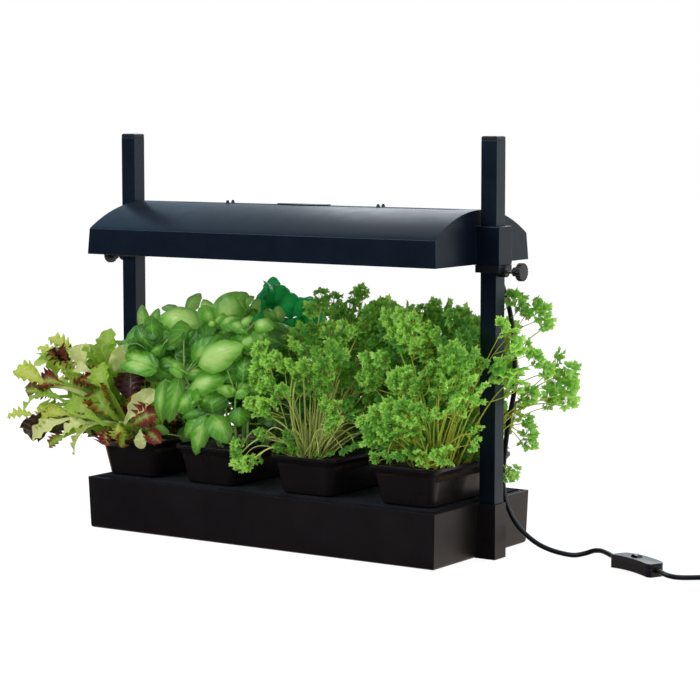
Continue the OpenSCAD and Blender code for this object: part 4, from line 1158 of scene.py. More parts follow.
class GARDEN_OT_basil(bpy.types.Operator):
    """Grow the basil and the mint behind it"""

    bl_idname = "garden.basil"
    bl_label = "Basil and mint"

    def execute(self, context):
        planting, colours = context.scene.garden_planting, context.scene.garden_colours
        self.basil(planting, colours)
        self.mint(planting, colours)
        return {"FINISHED"}

    def shoots(self, plant, roots, tops, thickness):
        """Main stems from the compost to the tops, as lines of points."""
        lines = []
        for root, top in zip(roots, tops):
            line = bow(root, top, plant.jitter(0.004), 12)
            plant.stem(line, thickness, thickness * 0.55)
            lines.append(line)
        return lines

    def joined(self, plant, lines, base):
        """Stalks a leaf to the nearest lower place on a main stem."""
        places = np.vstack(lines)
        lower = places[places[:, 2] < base[2] - 0.006]
        places = lower if len(lower) else places
        near = places[np.argmin(np.linalg.norm(places - base, axis=1))]
        if np.linalg.norm(near - base) < 0.002:
            return
        plant.stem(bow(near, base, -0.1 * (base - near) + (0, 0, -0.002), 5), 0.0024, 0.0018)

    def basil(self, planting, colours):
        """Leaves placed one by one, then the back, the inside, darkened as painted shade, and the young
        leaves at the tips.
        """
        plant = Foliage("basil_plant", planting.seed + 2)
        soil = soil_height("compost_2", 0.004)
        low, high = (Vector(corner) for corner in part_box("basil"))
        tops = np.array(BASIL_TOPS) * MM
        middle = np.array(((low.x + high.x) / 2 - 0.005, (low.y + high.y) / 2 + 0.02, soil))
        roots = [middle + (top - middle) * (0.32, 0.45, 0.0) for top in tops]
        lines = self.shoots(plant, roots, tops, 0.0042)
        for base, tip, width, shade_and_tone in BASIL_LEAVES:
            base, tip = np.array(base) * MM, np.array(tip) * MM
            self.leaf(plant, base, tip, OUTLOOK + plant.jitter(0.15), width * MM * 1.2, shade_and_tone * 0.8)
            self.joined(plant, lines, base)
        for place, out in on_crown("basil", planting.basil, plant.chance, self.beside):
            level = unit(out * (1, 1, 0.25) + plant.jitter(0.35) + (0, 0, -0.15))
            length = plant.chance.uniform(0.034, 0.06)
            base = place - level * length * 0.75
            # Painted shade: the lower a leaf on the plant, the darker it is.
            shade_and_tone = plant.chance.uniform(0.15, 0.75) * (0.5 + 0.5 * (place[2] - soil) / (high.z - soil))
            self.leaf(plant, base, base + level * length, unit(out + (0, 0, 0.9)), length * 0.66, shade_and_tone)
            self.joined(plant, lines, base)
        for number in range(2 * planting.basil):
            deep = number % 2
            sides = BASIL_MIDDLE if deep else BASIL_LAYER
            place = np.array([plant.chance.uniform(*ends) for ends in sides]) * MM
            level = unit(plant.jitter(1.0) * (1, 1, 0.4))
            length = plant.chance.uniform(0.036, 0.056)
            base = place - level * length * 0.5
            # Painted shade: the leaves in the middle are dark all through, and the layer behind those in
            # front is darker than them.
            shade_and_tone = 0.0 if deep else plant.chance.uniform(0.0, 0.4)
            self.leaf(plant, base, base + level * length, OUTLOOK + plant.jitter(0.35), length * 0.7, shade_and_tone)
            self.joined(plant, lines, base)
        for top in tops:
            for _ in range(planting.rosette):
                aside = (plant.chance.gauss(0, 1), plant.chance.gauss(0, 1))
                out = unit((*aside, plant.chance.uniform(0.1, 0.9)))
                length = plant.chance.uniform(0.016, 0.034)
                self.leaf(plant, top, top + out * length, OUTLOOK + 0.5 * out, length * 0.7, 0.55)
        material = leaf_finish(
            "basil_leaf", (0.005, 0.085, 0.01), tuple(colours.basil), (0.55, 0.84, 0.26), 0.5, 5.0, 0.14,
            bright=(0.64, 0.97, 0.3), painted_highlight=0.5,
        )  # fmt: skip
        plant.build(material, "basil_leaf", "basil")

    def beside(self, place):
        """Away from the leaves that are placed one by one, and from the mint."""
        x, y, z = place
        return z > 150 and (x < -190 or y > -10) and (x < -150 or z < 300)

    def leaf(self, plant, base, tip, face, width, shade_and_tone):
        """A smooth basil leaf, domed by its cupped edges."""
        grid = blade(
            base, tip, face, width, ovate, rows=13, arch=plant.chance.uniform(0.08, 0.2),
            cup=plant.chance.uniform(-0.6, -0.25), ruffle=0.12, waves=2.0,
            curl=plant.chance.uniform(0.0, 0.2), roll=plant.chance.gauss(0.0, 0.15),
            phase=plant.chance.uniform(0, 6),
        )  # fmt: skip
        plant.leaf(clear_of_stand(grid), shade_and_tone)

    def mint(self, planting, colours):
        """Leaves placed one by one, then the rest of the plant."""
        plant = Foliage("mint_plant", planting.seed + 3)
        soil = soil_height("compost_2", 0.004)
        tops = np.array(MINT_TOPS) * MM
        roots = [np.array((-95 + 12 * i, 60 + 6 * (i % 2), soil / MM)) * MM for i in range(len(tops))]
        lines = self.shoots(plant, roots, tops, 0.0045)
        for base, tip, width, shade_and_tone in MINT_LEAVES:
            base, tip = np.array(base) * MM, np.array(tip) * MM
            face = unit((0.35, -0.7, 0.75)) + plant.jitter(0.25)
            grid = blade(
                base, tip, face, width * MM, ovate, rows=21, arch=0.12, cup=-0.4, ruffle=0.22, waves=3.0,
                teeth=0.06, curl=0.15,
            )  # fmt: skip
            plant.leaf(clear_of_stand(grid), shade_and_tone)
            self.joined(plant, lines, base)
        for place, out in on_crown("mint", planting.mint, plant.chance, lambda p: p[2] > 170):
            level = unit(out + plant.jitter(0.3))
            base = place - level * 0.035
            grid = blade(
                base, base + level * 0.046, unit(out + (0, 0, 0.6)), 0.036, ovate, rows=21, arch=0.12,
                cup=-0.3, ruffle=0.1, teeth=0.06, curl=0.1,
            )  # fmt: skip
            plant.leaf(clear_of_stand(grid), plant.chance.uniform(0.1, 0.5))
            self.joined(plant, lines, base)
        material = leaf_finish(
            "mint_leaf", (0.0005, 0.08, 0.03), tuple(colours.mint), (0.05, 0.34, 0.08), 0.4, 7.0, 0.14,
            bright=(0.06, 0.85, 0.22), painted_highlight=0.4,
        )  # fmt: skip
        plant.build(material, "mint_leaf", "mint")


# ---------- Lettuce ----------

# Base, tip, width, kind and lightness of the lettuce leaves that show most; the lightness holds both the
# leaf's own colour and painted light and shade.
LETTUCE_LEAVES = (
    ((-395, -60, 218), (-457, -60, 268), 17, "yellow", 0.55),
    ((-385, -50, 238), (-448, -42, 270), 24, "yellow", 0.6),
    ((-395, -60, 220), (-426, -50, 258), 28, "purple", 0.5),
    ((-395, -35, 228), (-378, -20, 256), 26, "brown", 0.5),
    ((-325, -30, 228), (-362, -18, 287), 32, "green", 0.75),
    ((-405, -95, 199), (-470, -100, 229), 30, "yellow", 0.6),
    ((-395, -105, 172), (-440, -118, 123), 40, "purple", 0.4),
    ((-410, -110, 152), (-467, -122, 154), 18, "yellow", 0.6),
    ((-350, -112, 157), (-423, -124, 126), 28, "pale", 0.7),
    ((-300, -112, 154), (-347, -126, 113), 30, "pale", 0.9),
    ((-305, -110, 152), (-362, -124, 130), 26, "pale", 0.9),
    ((-350, -115, 133), (-388, -122, 116), 18, "brown", 0.4),
    ((-380, -90, 205), (-430, -95, 210), 34, "red", 0.5),
    ((-370, -100, 180), (-446, -108, 180), 34, "green", 0.55),
    ((-370, -80, 196), (-405, -72, 236), 28, "yellow", 0.7),
    ((-305, -88, 198), (-352, -92, 220), 38, "red", 0.15),
    ((-268, -98, 160), (-320, -98, 210), 40, "brown", 0.45),
    ((-255, -84, 180), (-266, -72, 230), 46, "purple", 0.25),
    ((-250, -106, 157), (-205, -94, 208), 28, "pale", 0.75),
    ((-232, -110, 154), (-194, -108, 178), 40, "red", 0.35),
    ((-285, -108, 152), (-366, -106, 186), 28, "green", 0.85),
    ((-325, -86, 226), (-370, -84, 236), 20, "pale", 0.8),
    ((-285, -96, 200), (-316, -90, 240), 36, "green", 0.9),
    ((-215, -112, 152), (-207, -120, 125), 18, "pale", 0.85),
    ((-278, -106, 150), (-274, -122, 126), 30, "red", 0.7),
    ((-250, -108, 150), (-240, -122, 127), 26, "brown", 0.8),
    ((-205, -108, 150), (-176, -116, 137), 24, "red", 0.5),
    ((-255, -112, 158), (-244, -122, 136), 24, "yellow", 0.9),
    ((-375, -104, 168), (-424, -112, 142), 26, "yellow", 0.6),
    ((-350, -106, 162), (-398, -110, 168), 20, "yellow", 0.7),
    ((-285, -98, 174), (-326, -100, 200), 28, "green", 0.7),
    ((-290, -62, 208), (-316, -56, 252), 30, "green", 0.6),
    ((-245, -66, 198), (-268, -60, 236), 28, "green", 0.5),
    ((-330, -75, 190), (-380, -70, 212), 28, "yellow", 0.5),
    ((-300, -104, 165), (-340, -112, 178), 24, "red", 0.4),
    ((-240, -100, 168), (-226, -96, 200), 30, "brown", 0.4),
)  # fmt: skip
LETTUCE_TINTS = {"green": 0.0, "yellow": 0.2, "pale": 0.4, "red": 0.6, "brown": 0.8, "purple": 1.0}
# What the leaves round the back and those inside the plant are picked from.
LETTUCE_BACK = ("green", "yellow", "green", "red", "pale", "brown", "purple", "green")
LETTUCE_INSIDE = ("green", "red", "green", "brown", "purple")
# Where the lettuces stand in their trough, as shares of its width and depth.
LETTUCE_CROWNS = ((0.35, 0.2), (0.7, 0.22), (0.4, 0.5), (0.65, 0.75), (0.35, 0.8))


class GARDEN_OT_lettuce(bpy.types.Operator):
    """Grow the mixed lettuce"""

    bl_idname = "garden.lettuce"
    bl_label = "Lettuce"

    def execute(self, context):
        planting, colours = context.scene.garden_planting, context.scene.garden_colours
        plant = Foliage("lettuce_plant", planting.seed + 1)
        low, high = (Vector(corner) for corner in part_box("compost_1"))
        crowns = [
            np.array((low.x + (high.x - low.x) * across, low.y + (high.y - low.y) * deep, high.z - 0.003))
            for across, deep in LETTUCE_CROWNS
        ]
        for base, tip, width, kind, shade_and_tone in LETTUCE_LEAVES:
            base, tip, width = np.array(base) * MM, np.array(tip) * MM, width * MM
            self.leaf(plant, base, tip, unit((0.4, -0.8, 0.7)) + plant.jitter(0.2), width, kind, shade_and_tone)
            self.rooted(plant, crowns, base, width, kind, shade_and_tone)
        behind = on_crown("lettuce", planting.lettuce, plant.chance, lambda p: p[1] > -75 and p[0] < -245)
        for place, out in behind:
            kind = plant.chance.choice(LETTUCE_BACK)
            level = self.outward(plant, crowns, place, 0.6 * out, 0.25)
            base = place - level * plant.chance.uniform(0.045, 0.075) * 0.85
            shade_and_tone = plant.chance.uniform(0.3, 0.8)
            width = plant.chance.uniform(0.028, 0.042)
            self.leaf(plant, base, place, unit(out + (0, 0, 0.8)), width, kind, shade_and_tone)
            self.rooted(plant, crowns, base, 0.03, kind, shade_and_tone)
        # Painted shade: the leaves inside the plant, and their ribs, are darker.
        inside = on_crown(
            "lettuce", planting.lettuce // 2, plant.chance, lambda p: p[2] > 140, depth=(0.4, 0.85)
        )
        for place, out in inside:
            kind = plant.chance.choice(LETTUCE_INSIDE)
            base = place - self.outward(plant, crowns, place, 0.4 * out, 0.3) * 0.05
            width = plant.chance.uniform(0.03, 0.044)
            self.leaf(plant, base, place, unit(out + (0, 0, 0.8)), width, kind, 0.25)
            self.rooted(plant, crowns, base, 0.03, kind, 0.4)
        material = leaf_finish(
            "lettuce_leaf", (0.08, 0.2, 0.012), tuple(colours.lettuce), (0.74, 0.82, 0.3), 0.5, 5.0, 0.24,
            tints=(
                (0.12, 0.24, (0.66, 0.72, 0.13), "all"), (0.3, 0.44, (0.88, 0.92, 0.42), "all"),
                (0.5, 0.64, (0.22, 0.03, 0.02), "most"), (0.7, 0.84, (0.26, 0.075, 0.012), "edge"),
                (0.9, 1.2, (0.05, 0.007, 0.014), "all"),
            ),
        )  # fmt: skip
        plant.build(material, "lettuce_leaf", "lettuce")
        return {"FINISHED"}

    def outward(self, plant, crowns, place, lean, loose):
        """The way that a leaf grows at a place, away from the nearest crown."""
        crown = min(crowns, key=lambda c: np.linalg.norm(c - place))
        return unit(unit(place - crown) + lean + plant.jitter(loose))

    def leaf(self, plant, base, tip, face, width, kind, shade_and_tone):
        """A lettuce leaf of one kind; the coloured kinds are the more frilled."""
        smooth = kind in ("pale", "green")
        ruffle, waves, teeth = (0.3, 4.0, 0.03) if smooth else (0.6, 6.0, 0.06)
        grid = blade(
            base, tip, face, width, spoon, rows=41, arch=plant.chance.uniform(0.05, 0.18),
            cup=plant.chance.uniform(0.2, 0.6), ruffle=ruffle, waves=waves, teeth=teeth,
            curl=plant.chance.uniform(0.0, 0.3), roll=plant.chance.gauss(0.0, 0.35),
            phase=plant.chance.uniform(0, 6),
        )  # fmt: skip
        plant.leaf(clear_of_stand(grid), shade_and_tone, LETTUCE_TINTS[kind])

    def rooted(self, plant, crowns, base, width, kind, shade_and_tone):
        """The leaf's broad pale rib, down to the nearest crown."""
        crown = min(crowns, key=lambda c: np.linalg.norm(c - base))
        start = crown + plant.jitter(0.004) * (1, 1, 0)
        reach = np.linalg.norm(base - start)
        steep = base[2] - start[2] >= reach * 0.8
        line = bow(start, base, (0, 0, 0.14 * reach * (0.3 if steep else 1)), 12)
        wide = np.linspace(0.45, 0.2, len(line)) * min(width, 0.026)
        ahead = np.gradient(line, axis=0)
        side = np.cross(ahead, (0.4, -0.8, 0.7))
        side /= np.linalg.norm(side, axis=1)[:, None]
        up = np.cross(side, ahead)
        up /= np.linalg.norm(up, axis=1)[:, None]
        across = np.linspace(-1.0, 1.0, 5)
        grid = (
            line[:, None, :]
            + (wide[:, None] / 2 * across)[:, :, None] * side[:, None, :]
            + (wide[:, None] * 0.35 * across**2)[:, :, None] * up[:, None, :]
        )
        tint = LETTUCE_TINTS["pale" if kind in ("pale", "yellow") else "green"]
        plant.leaf(clear_of_stand(grid), max(shade_and_tone, 0.6), tint)


# ---------- Parsley and coriander ----------

# Middle, radius and lightness of the leaf heads that show most; the lightness holds both the leaves' own
# colour and painted light and shade, paler on the tops of the clumps and darker below them.
CORIANDER_HEADS = (
    (31, 0, 352, 11, 0.35), (51, 0, 347, 12, 0.32), (13, 0, 330, 12, 0.6), (29, 0, 337, 11, 0.5),
    (75, 20, 352, 11, 0.45), (87, 20, 357, 10, 0.5), (68, 20, 339, 11, 0.42), (113, 10, 342, 6, 0.35),
    (40, 10, 320, 12, 0.35), (59, 10, 318, 12, 0.38), (77, 10, 317, 9, 0.4), (104, 10, 319, 12, 0.42),
    (67, -30, 304, 14, 0.66), (91, -30, 305, 14, 0.68), (105, -30, 308, 11, 0.55),
    (78, -30, 293, 13, 0.6), (94, 0, 290, 16, 0.2), (109, 0, 280, 14, 0.18), (81, 0, 274, 13, 0.32),
    (115, 0, 301, 11, 0.35), (11, -25, 295, 14, 0.35), (-9, -25, 287, 11, 0.5), (31, -25, 301, 13, 0.3),
    (38, -25, 285, 12, 0.4), (25, -60, 284, 11, 0.62), (46, -60, 278, 13, 0.5), (67, -60, 273, 12, 0.5),
    (88, -60, 282, 13, 0.55), (106, -60, 272, 13, 0.5), (-15, -85, 282, 11, 0.82),
    (-16, -85, 268, 11, 0.8), (-3, -85, 262, 11, 0.85), (-20, -85, 249, 11, 0.8),
    (-24, -85, 236, 10, 0.75), (-6, -85, 241, 10, 0.7), (10, -85, 268, 10, 0.75), (15, -75, 255, 9, 0.9),
    (33, -75, 256, 11, 0.85), (52, -75, 258, 11, 0.7), (42, -75, 246, 11, 0.7), (72, -60, 256, 13, 0.65),
    (85, -60, 266, 11, 0.6), (90, -60, 251, 12, 0.6), (51, -60, 238, 13, 0.6), (70, -60, 233, 13, 0.6),
    (36, -60, 224, 11, 0.5), (62, -60, 220, 11, 0.5), (85, -60, 233, 11, 0.5), (86, -30, 238, 13, 0.42),
    (96, -30, 251, 13, 0.42), (114, -30, 242, 13, 0.38), (119, -30, 229, 11, 0.36),
    (8, -95, 231, 10, 0.65), (-5, -95, 226, 9, 0.7), (28, -95, 223, 10, 0.65), (37, -95, 217, 9, 0.6),
    (18, -95, 212, 9, 0.6), (-14, -105, 204, 11, 0.8), (2, -105, 203, 12, 0.85), (19, -105, 204, 10, 0.8),
    (-6, -105, 192, 10, 0.75), (12, -105, 191, 9, 0.6), (101, -95, 209, 11, 0.65),
    (117, -95, 208, 11, 0.7), (109, -95, 190, 13, 0.65), (122, -95, 193, 10, 0.65),
    (109, -95, 175, 9, 0.55), (100, -40, 205, 12, 0.35), (110, -40, 191, 12, 0.3), (5, -112, 162, 8, 0.5),
    (12, -112, 159, 5, 0.45), (-31, -120, 145, 10, 0.6), (-35, -120, 132, 8, 0.5),
    (-30, -120, 121, 10, 0.75), (-15, -120, 120, 11, 0.8), (-27, -120, 112, 8, 0.8),
    (-2, -120, 123, 6, 0.5), (8, -120, 127, 5, 0.35), (36, -90, 158, 9, 0.35), (25, -90, 143, 9, 0.35),
    (41, -90, 143, 9, 0.5), (15, -90, 137, 6, 0.4), (53, -90, 138, 6, 0.6), (134, -90, 147, 9, 0.3),
    (151, -90, 155, 9, 0.3), (108, -90, 140, 6, 0.4), (88, -90, 135, 5, 0.5),
)  # fmt: skip
PARSLEY_HEADS = (
    (187, 25, 336, 12, 0.3), (207, 25, 342, 11, 0.38), (227, 25, 341, 11, 0.42), (247, 25, 334, 10, 0.38),
    (203, 25, 328, 12, 0.3), (223, 25, 327, 11, 0.35), (257, 25, 327, 8, 0.35), (125, 0, 340, 8, 0.4),
    (136, 0, 336, 8, 0.45), (179, -50, 327, 12, 0.75), (199, -50, 331, 13, 0.82),
    (218, -50, 330, 11, 0.8), (183, -50, 312, 12, 0.75), (203, -50, 313, 14, 0.85),
    (220, -50, 316, 12, 0.8), (207, -50, 298, 12, 0.95), (222, -50, 292, 10, 0.95),
    (189, -50, 301, 9, 0.75), (234, -50, 300, 9, 0.85), (236, -40, 319, 10, 0.6),
    (250, -40, 310, 10, 0.68), (240, -40, 304, 10, 0.72), (252, -40, 298, 9, 0.75),
    (234, -40, 280, 10, 0.8), (261, -10, 320, 10, 0.55), (274, -10, 314, 9, 0.68),
    (259, -10, 303, 10, 0.22), (284, -10, 304, 9, 0.3), (294, -10, 315, 8, 0.5), (292, -10, 295, 9, 0.75),
    (121, -20, 317, 12, 0.42), (123, -20, 301, 12, 0.36), (123, -20, 286, 13, 0.28),
    (141, -20, 292, 10, 0.18), (153, -60, 272, 13, 0.52), (175, -60, 275, 13, 0.56),
    (155, -60, 257, 11, 0.55), (155, -60, 240, 13, 0.52), (171, -60, 248, 9, 0.45),
    (143, -60, 246, 9, 0.66), (180, -30, 270, 14, 0.1), (200, -30, 271, 12, 0.12),
    (178, -30, 256, 10, 0.1), (213, -85, 253, 12, 0.66), (231, -85, 258, 11, 0.64),
    (213, -85, 241, 11, 0.62), (231, -85, 241, 12, 0.63), (249, -85, 245, 10, 0.55),
    (264, -85, 256, 13, 0.38), (278, -85, 269, 12, 0.4), (243, -85, 233, 9, 0.66),
    (292, -80, 284, 13, 0.48), (311, -80, 287, 13, 0.48), (330, -80, 286, 13, 0.45),
    (345, -80, 281, 10, 0.38), (301, -80, 298, 10, 0.6), (301, -80, 270, 13, 0.75),
    (318, -80, 268, 10, 0.72), (336, -80, 272, 10, 0.42), (293, -95, 253, 13, 0.5),
    (314, -95, 251, 13, 0.58), (335, -95, 254, 14, 0.68), (354, -95, 248, 11, 0.62),
    (288, -95, 236, 12, 0.55), (309, -95, 234, 14, 0.63), (331, -95, 232, 14, 0.7),
    (350, -95, 229, 10, 0.78), (292, -105, 212, 9, 0.9), (311, -105, 215, 9, 0.82),
    (328, -105, 218, 9, 0.88), (214, -105, 215, 12, 0.63), (238, -105, 215, 12, 0.58),
    (259, -105, 212, 11, 0.55), (275, -105, 205, 9, 0.65), (193, -105, 204, 11, 0.68),
    (175, -105, 191, 10, 0.78), (195, -105, 190, 13, 0.5), (218, -105, 195, 13, 0.52),
    (242, -105, 196, 13, 0.6), (261, -105, 194, 11, 0.6), (187, -105, 175, 13, 0.48),
    (211, -105, 178, 13, 0.5), (234, -105, 180, 12, 0.55), (254, -105, 178, 11, 0.62),
    (183, -105, 161, 10, 0.68), (201, -105, 166, 9, 0.55), (195, -112, 143, 9, 0.55),
    (213, -112, 148, 9, 0.42), (233, -112, 149, 10, 0.35), (250, -112, 152, 8, 0.4),
    (273, -114, 156, 10, 0.62), (275, -114, 145, 9, 0.62), (298, -114, 160, 10, 0.72),
    (313, -114, 166, 9, 0.78), (305, -114, 150, 9, 0.7), (317, -114, 147, 6, 0.6),
    (334, -75, 189, 9, 0.72), (335, -75, 174, 8, 0.72), (330, -75, 163, 7, 0.62),
    (221, -60, 156, 9, 0.15), (233, -70, 150, 8, 0.2), (213, -60, 147, 8, 0.15),
)  # fmt: skip
# Parsley to the right of the post and behind it.
PARSLEY_SPRIGS = (
    (316, 50, 359, 12, 0.35), (332, 50, 350, 12, 0.4), (340, 50, 338, 9, 0.42), (349, 60, 349, 11, 0.55),
    (358, 60, 337, 12, 0.62), (366, 60, 322, 11, 0.7), (358, -45, 330, 10, 0.75),
    (366, -45, 318, 12, 0.8), (378, -45, 306, 12, 0.78), (384, -45, 294, 10, 0.7),
    (355, 30, 290, 10, 0.6), (367, 30, 278, 11, 0.6), (382, 30, 264, 11, 0.62), (353, -50, 272, 19, 0.45),
    (374, -50, 263, 17, 0.5), (382, -50, 249, 11, 0.7), (368, 90, 271, 12, 0.5), (384, 90, 256, 14, 0.62),
    (366, 90, 245, 14, 0.42), (387, 90, 233, 14, 0.68), (359, 90, 220, 13, 0.5), (383, 90, 213, 12, 0.75),
    (354, 90, 209, 9, 0.6), (341, 60, 224, 12, 0.72), (327, 60, 210, 12, 0.7), (319, 60, 192, 10, 0.75),
    (323, 85, 183, 9, 0.45), (325, 85, 168, 12, 0.66), (325, 85, 153, 11, 0.72), (329, 35, 118, 11, 0.75),
    (322, 35, 109, 8, 0.7),
)  # fmt: skip
# Each leaflet of a head: its place sideways, ahead and up, its turn, and its size. All but the turn
# are shares of the head's radius.
LEAFLETS = (
    (0.0, 0.3, 0.05, 0.0, 0.78), (0.3, 0.12, 0.0, 0.85, 0.74), (-0.3, 0.12, 0.0, -0.85, 0.74),
    (0.26, -0.22, -0.08, 1.75, 0.66), (-0.26, -0.22, -0.08, -1.75, 0.66), (0.05, -0.12, 0.2, 0.25, 0.72),
    (0.0, -0.35, 0.0, 3.1, 0.55), (-0.12, 0.05, 0.24, -0.9, 0.6), (0.14, 0.0, 0.24, 1.0, 0.6),
)  # fmt: skip


def placed(table, larger):
    """A table's heads, with their radii times larger."""
    return [(np.array(place) * MM, radius * MM * larger, shade_and_tone, None) for *place, radius, shade_and_tone in table]


class Umbel:
    """Shared by parsley and coriander: stalks that carry domed heads of cut leaflets.

    Each of them has its node, the centre of its foot, the spread of its stalks at the soil as shares
    of the spread of its heads, the thinnest and thickest of its stalks, and its leaflet's curl, teeth
    and depth of cut.
    """

    # The share of the heads that stand on another's stalk, and how near to it and far from it they may be.
    shared = 0.7
    nearest, farthest = 0.004, 0.045

    def head(self, plant, middle, ahead, face, size, shade_and_tone, leaflet, shown):
        """Leaflets on short stalks, each turned its own way; returns the head's foot.

        A head that isn't shown has fewer and plainer leaflets.
        """
        curl, teeth, cut = leaflet
        rows, columns = (4, 2 * teeth + 1) if shown else (3, 13)
        ahead, face = unit(ahead), unit(face)
        side = unit(np.cross(ahead, face))
        up = np.cross(side, ahead)
        foot = middle - ahead * size * 0.5 - up * size * 0.3
        for across, forward, above, turn, share in LEAFLETS if shown else LEAFLETS[:6]:
            share *= plant.chance.uniform(0.85, 1.15)
            aside = side * across + ahead * forward + up * above
            start = middle + size * aside + plant.jitter(size * 0.06)
            way = ahead * math.cos(turn) + side * math.sin(turn) + plant.jitter(0.16)
            grid = fan(
                start, way, up + 0.35 * unit(start - foot) + plant.jitter(0.2), size * share, rows, columns,
                lobes=plant.chance.choice((2.0, 2.5, 3.0)), ruffle=curl,
                droop=plant.chance.uniform(0.0, 0.4), phase=plant.chance.uniform(0, 6), teeth=cut,
            )  # fmt: skip
            # Painted light: leaflets higher in the head are paler.
            lighter = shade_and_tone + plant.chance.gauss(0.5 * above, 0.08)
            plant.leaf(clear_of_stand(grid), min(1.0, max(0.0, lighter)))
            if shown:
                plant.stem(bow(foot, start, plant.jitter(size * 0.03), 4), 0.0011, 0.0008, sides=3)
        return foot

    def carry(self, plant, lines, root, foot, thick):
        """Joins a head to the nearest stalk below it, or gives it a stalk of its own."""
        lower = [line[line[:, 2] < foot[2] - 0.008] for line in lines]
        lower = np.vstack(lower) if lower else np.empty((0, 3))
        if len(lower) and plant.chance.random() < self.shared:
            near = lower[np.argmin(np.linalg.norm(lower - foot, axis=1))]
            if self.nearest < np.linalg.norm(near - foot) < self.farthest:
                plant.stem(bow(near, foot, plant.jitter(0.002), 5), thick * 0.6, thick * 0.45, sides=4)
                return
        lines.append(self.stalk(plant, root, foot, thick))

    def stalk(self, plant, root, foot, thick):
        """A stalk that rises from its root and leans out to a head's foot."""
        rise = foot[2] - root[2]
        flat = np.linalg.norm((foot - root)[:2])
        lift = np.array((0, 0, 0.16 * flat if rise > 0.04 else 0.22 * flat + 0.012))
        line = bow(root, foot, lift + plant.jitter(0.006), 12)
        for point in line[1:-1]:
            self.step_aside(point)
        plant.stem(line, thick, thick * 0.55)
        return line

    def step_aside(self, point):
        """Moves a point of a stalk out of the right post."""
        low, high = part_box("post_right")
        clear = 0.004
        if low[0] - clear < point[0] < high[0] + clear and low[1] - clear < point[1] < high[1] + clear:
            point[1] = low[1] - clear if point[1] < 0 else high[1] + clear

    def grow(self, name, seed, heads, middle, material, leaflet, shown=True):
        """One plant or part of a plant: heads given as place, radius, lightness (own colour with painted
        light and shade) and the way that they face.
        """
        plant = Foliage(name, seed)
        lines = []
        for place, size, shade_and_tone, out in heads:
            away = unit(place - middle)
            face = unit((0.3, -0.5, 0.85)) if out is None else unit(out + (0, 0, 0.5))
            ahead = unit(away * (1, 1, 0.7) + plant.jitter(0.25) + (0, 0, 0.1))
            foot = self.head(plant, place, ahead, face + plant.jitter(0.2), size, shade_and_tone, leaflet, shown)
            root = middle + (place - middle) * (*self.spread, 0.0) + plant.jitter(0.006) * (1, 1, 0)
            self.carry(plant, lines, root, foot, plant.chance.uniform(*self.thickness))
        plant.build(material, f"{self.node}_leaf", self.node)

    def filled(self, count, chance, keep, sizes, shades_and_tones):
        """Heads spread over the plant's solid, just inside it."""
        inside = 0.012
        # Each head's number is drawn from the range given, which for the heads at the back is darker, as
        # painted shade.
        return [
            (place - out * inside, chance.uniform(*sizes), chance.uniform(*shades_and_tones), out)
            for place, out in on_crown(self.node, count, chance, keep)
        ]

    def thicket(self, count, chance, low, high):
        """Heads in a box inside the plant, dark as painted shade; the box's corners are in millimetres."""
        radius = 0.019
        heads = []
        for _ in range(count):
            place = np.array([chance.uniform(*ends) for ends in zip(low, high)]) * MM
            # Painted shade: these heads are near the darkest leaf colour.
            heads.append((place, radius, chance.uniform(0.0, 0.15), None))
        return heads


class GARDEN_OT_parsley(bpy.types.Operator, Umbel):
    """Grow the curled parsley"""

    bl_idname = "garden.parsley"
    bl_label = "Parsley"

    node = "parsley"
    centre = (0.238, -0.02)
    spread = (0.2, 0.32)
    thickness = (0.002, 0.003)
    leaflet = (0.26, 11, 0.24)
    # Flatter and less cut, as it's seen from farther off.
    sprig_leaflet = (0.14, 8, 0.14)

    def execute(self, context):
        planting, colours = context.scene.garden_planting, context.scene.garden_colours
        middle = np.array((*self.centre, soil_height("compost_4", 0.003)))
        chance = random.Random(planting.seed + 15)
        material = leaf_finish(
            "parsley_leaf", (0.012, 0.14, 0.026), tuple(colours.parsley), (0.88, 0.94, 0.12), 0.07, 3.0,
            0.36, bright=(0.6, 0.97, 0.2), rim=0.95,
        )  # fmt: skip
        heads, sprigs = placed(PARSLEY_HEADS, 1.3), placed(PARSLEY_SPRIGS, 1.4)
        self.grow("parsley_plant", planting.seed + 5, heads, middle, material, self.leaflet)
        self.grow("parsley_sprigs", planting.seed + 8, sprigs, middle, material, self.sprig_leaflet)
        back = self.filled(
            planting.parsley, chance, lambda p: 150 < p[2] < 345 and p[0] < 296 and p[1] > -20,
            (0.014, 0.019), (0.2, 0.55),
        )  # fmt: skip
        back += self.thicket(planting.parsley, chance, (150, -50, 150), (295, 80, 315))
        back += self.thicket(planting.parsley // 3, chance, (165, 10, 132), (290, 80, 190))
        self.grow("parsley_back", planting.seed + 6, back, middle, material, self.leaflet, shown=False)
        return {"FINISHED"}


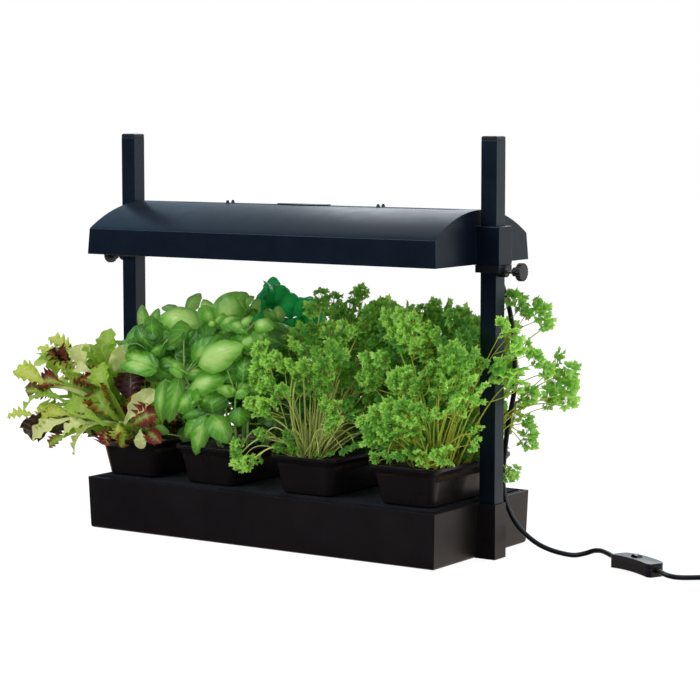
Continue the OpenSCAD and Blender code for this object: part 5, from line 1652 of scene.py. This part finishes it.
class GARDEN_OT_coriander(bpy.types.Operator, Umbel):
    """Grow the coriander"""

    bl_idname = "garden.coriander"
    bl_label = "Coriander"

    node = "coriander"
    centre = (0.052, -0.066)
    spread = (0.14, 0.2)
    thickness = (0.0022, 0.0036)
    leaflet = (0.18, 9, 0.22)

    def execute(self, context):
        planting, colours = context.scene.garden_planting, context.scene.garden_colours
        middle = np.array((*self.centre, soil_height("compost_3", 0.003)))
        chance = random.Random(planting.seed + 14)
        material = leaf_finish(
            "coriander_leaf", (0.012, 0.14, 0.026), tuple(colours.coriander), (0.9, 0.98, 0.28), 0.08, 3.0,
            0.36, bright=(0.56, 0.94, 0.17), rim=0.85,
        )  # fmt: skip
        heads = placed(CORIANDER_HEADS, 1.3)
        self.grow("coriander_plant", planting.seed + 4, heads, middle, material, self.leaflet)
        back = self.filled(
            planting.coriander, chance, lambda p: 150 < p[2] < 340 and p[1] > -20,
            (0.014, 0.018), (0.15, 0.5),
        )  # fmt: skip
        back += self.thicket(planting.coriander, chance, (-20, -20, 150), (150, 80, 300))
        back += self.thicket(planting.coriander // 2, chance, (-10, 10, 132), (145, 80, 190))
        self.grow("coriander_back", planting.seed + 5, back, middle, material, self.leaflet, shown=False)
        return {"FINISHED"}


class GARDEN_PT_panel(bpy.types.Panel):
    """Lists the garden's settings and steps"""

    bl_label = "Garden"
    bl_idname = "GARDEN_PT_panel"
    bl_space_type = "VIEW_3D"
    bl_region_type = "UI"
    bl_category = "Garden"

    def draw(self, context):
        for name, group in GROUPS.items():
            self.layout.label(text=group.__doc__)
            for setting in group.__annotations__:
                self.layout.prop(getattr(context.scene, name), setting)
        for step in STEPS:
            self.layout.operator(step.bl_idname)


STEPS = (
    GARDEN_OT_camera,
    GARDEN_OT_lead,
    GARDEN_OT_finishes,
    GARDEN_OT_compost,
    GARDEN_OT_lettuce,
    GARDEN_OT_basil,
    GARDEN_OT_coriander,
    GARDEN_OT_parsley,
    GARDEN_OT_stage,
)
GROUPS = {
    "garden_stage": GardenStage,
    "garden_lead": GardenLead,
    "garden_planting": GardenPlanting,
    "garden_colours": GardenColours,
}


def register():
    for each in (*GROUPS.values(), *STEPS, GARDEN_PT_panel):
        bpy.utils.register_class(each)
    for name, group in GROUPS.items():
        setattr(bpy.types.Scene, name, bpy.props.PointerProperty(type=group))


def unregister():
    for name in GROUPS:
        delattr(bpy.types.Scene, name)
    for each in reversed((*GROUPS.values(), *STEPS, GARDEN_PT_panel)):
        bpy.utils.unregister_class(each)


def main():
    register()
    for step in STEPS:
        family, name = step.bl_idname.split(".")
        getattr(getattr(bpy.ops, family), name)()


if __name__ == "__main__":
    main()
